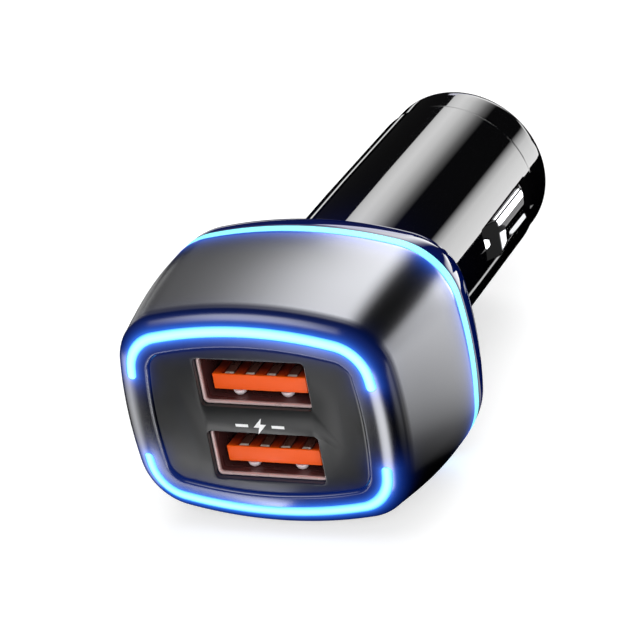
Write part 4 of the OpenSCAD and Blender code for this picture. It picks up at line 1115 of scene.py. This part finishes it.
def floor_card(name, edge_a, edge_b, across, along):
    """Card on the floor between two edges in mm, with levels across from a to b and along each edge."""
    steps = np.linspace(0, 1, 17)
    grid = []
    for v in steps:
        a = (1 - v) * np.array(edge_a[0]) + v * np.array(edge_a[1])
        b = (1 - v) * np.array(edge_b[0]) + v * np.array(edge_b[1])
        row = [(1 - u) * a + u * b for u in steps]
        grid.append([(q[0] * MM, q[1] * MM, CARD_Z) for q in row])
    card(name, grid, spread_levels(steps, steps, across, along))


# A black flag on the floor and a dark dome keep the white studio out of the gloss
FLAG_R, DOME_R, DOME_LEVEL = 2.1, 2, 0.02
around = np.linspace(0, 2 * math.pi, 65)
floor_flag = [[(r * math.cos(a), r * math.sin(a), FLOOR_Z + 0.0002) for a in around] for r in (0.0, FLAG_R)]
card("floor_flag", floor_flag, np.zeros((2, 65)))
sky_flag = []
for b in np.linspace(-0.05, math.pi / 2, 17):
    r, z = DOME_R * math.cos(b), DOME_R * math.sin(b)
    sky_flag.append([(r * math.cos(a), r * math.sin(a), z) for a in around])
card("sky_flag", sky_flag, np.full((17, 65), DOME_LEVEL))

# Cards above, beside and behind the plug
sky_card("top_card", [(68.5, 0), (78, 1.4), (88, 4.0), (100, 6.2), (112, 6.6), (122, 5.2), (127.6, 4.0)],
         [(0, 0.95), (37, 0.95)])
sky_card("top_shell_card", [(68.5, 0), (78, 1.8), (88, 5.0), (100, 6.4), (108, 5.5), (116, 3.8), (124, 2.0),
                            (134, 0.9), (150, 0.4), (168, 0.3)], [(37, 1), (62, 0.9)])
sky_card("right_card", [(-0.9, 7.4), (10, 6.8), (18, 4.0), (25, 0)], [(8, 1), (37, 1)])
sky_card("right_shell_card", [(-0.9, 2.8), (10, 3.2), (18, 2.2), (25, 0)], [(37, 1), (60, 1)])
sky_card("left_card", [(168, 0), (174, 1.2), (178, 0.8), (180.3, 0.5)], [(42, 1), (54, 1)])
sky_card("cover_card", [(127.6, 4.8), (138, 4.4), (141, 0)], [(16, 1), (33, 1)], (0.85, 0.85, 1.0))
sky_card("overhead_card", [(96, 0), (108, 2.6), (126, 2.6), (140, 0)],
         [(100, 0), (106, 1), (128, 1), (136, 0)])

# Cards on the floor, each named after what it is seen in
EVEN = [(0, 1), (1, 1)]
FRONT_Y = -HEAD_LEN
floor_card("right_floor_card", [(48, 130), (1400, 2400)], [(48, 50), (1400, 1930)],
           EVEN, [(0, 7.2), (0.1, 7.4), (1, 7.4)])
floor_card("shell_floor_card", [(48, 50), (1400, 1930)], [(70, 30), (1400, 500)], EVEN, [(0, 3.0), (1, 2.8)])
floor_card("side_card", [(12, -1), (48, 50)], [(40, -40), (150, -20)],
           [(0, 1), (0.2, 1), (0.5, 0.8), (1, 0.4)],
           [(0, 0), (0.12, 0.3), (0.21, 1.1), (0.35, 1.8), (0.8, 3.0), (1, 3.2)])
floor_card("side_far_card", [(70, 30), (1400, 500)], [(150, -20), (1400, 100)], [(0, 2.8), (1, 2.0)], EVEN)
floor_card("panel_card", [(-21, -40), (-34, -68)], [(2, -36.5), (-12.5, -66)],
           [(0, 0.0), (0.4, 0.6), (1, 3.0)], EVEN)
floor_card("inner_edge_card", [(-2, -28.8), (-24, -38.2)], [(-2, -32), (-24, -41.4)],
           EVEN, [(0, 6.0), (1, 6.0)])
fan_card("right_fan_card", (14.5, FRONT_Y), [(-22, 0), (-14, 4.0), (0, 5.4), (15, 5.0), (26, 0.8), (34, 0)],
         [(6, 1), (60, 1), (80, 0.5)])
fan_card("left_fan_card", (-15, FRONT_Y),
         [(-112, 0), (-86, 1.8), (-66, 3.2), (-48, 1.4), (-34, 0.4), (-24, 0)], [(4, 1), (80, 1)])
floor_card("barrel_left_card", [(-85, 96), (-85, 180)], [(-150, 180), (-150, 266)],
           [(0, 0.4), (0.3, 1.8), (0.7, 1.8), (1, 0.4)], EVEN)
floor_card("barrel_right_card", [(11.0, 18), (11.0, 41)], [(12.4, 18), (12.4, 41)],
           [(0, 1.0), (0.5, 2.2), (1, 1.0)], EVEN)
floor_card("contact_card", [(14.0, 43), (14.0, 50.5)], [(24.0, 43), (24.0, 50.5)], EVEN, [(0, 1.1), (1, 1.1)])
floor_card("head_left_card", [(-62, 34), (-110, 62)], [(-68, 64), (-130, 118)],
           [(0, 0.3), (0.4, 0.7), (1, 0.6)], EVEN)
floor_card("head_left_far_card", [(-110, 62), (-1300, 860)], [(-130, 118), (-1300, 1150)],
           [(0, 0.5), (0.5, 0.6), (1, 0.5)], EVEN)

softbox("back_top_box", (-0.08, 0.789, 0.56), 1.5, 0.92, 0.6, 6.0)
softbox("back_right_box", (0.60, 0.789, 0.10), 1.5, 0.4, 0.75, 5.0)
softbox("overhead_box", (0.1, -0.25, 1.0), 1.5, 1.6, 1.2, 1.3)
softbox("front_fill", (0.5, -0.95, 0.5), 1.6, 0.9, 0.9, 6.9)

WORLD_COLOUR, WORLD_LEVEL = (0.93, 0.95, 1.0, 1), 0.16
world = bpy.data.worlds.new("studio")
bpy.context.scene.world = world
world.use_nodes = True
background = world.node_tree.nodes["Background"]
background.inputs[0].default_value = WORLD_COLOUR
background.inputs[1].default_value = WORLD_LEVEL

CAMERA_PLACE = Vector((0.201097, -0.378829, 0.212429))
CAMERA_AIM = Vector((-0.00247028, -0.00123461, 0.00017285))
CAMERA_ROLL = -10.9057
CAMERA_LENS, CAMERA_SENSOR = 242.132, 36.0
camera_data = bpy.data.cameras.new("camera")
camera_data.lens, camera_data.sensor_width = CAMERA_LENS, CAMERA_SENSOR
camera_data.clip_start, camera_data.clip_end = 0.01, 20
camera = linked_object("camera", camera_data)
facing = (CAMERA_AIM - CAMERA_PLACE).to_track_quat("-Z", "Y").to_matrix().to_4x4()
roll = Matrix.Rotation(math.radians(CAMERA_ROLL), 4, "Z")
camera.matrix_world = Matrix.Translation(CAMERA_PLACE) @ facing @ roll
bpy.context.scene.camera = camera
bpy.context.scene.view_settings.view_transform = "Standard"
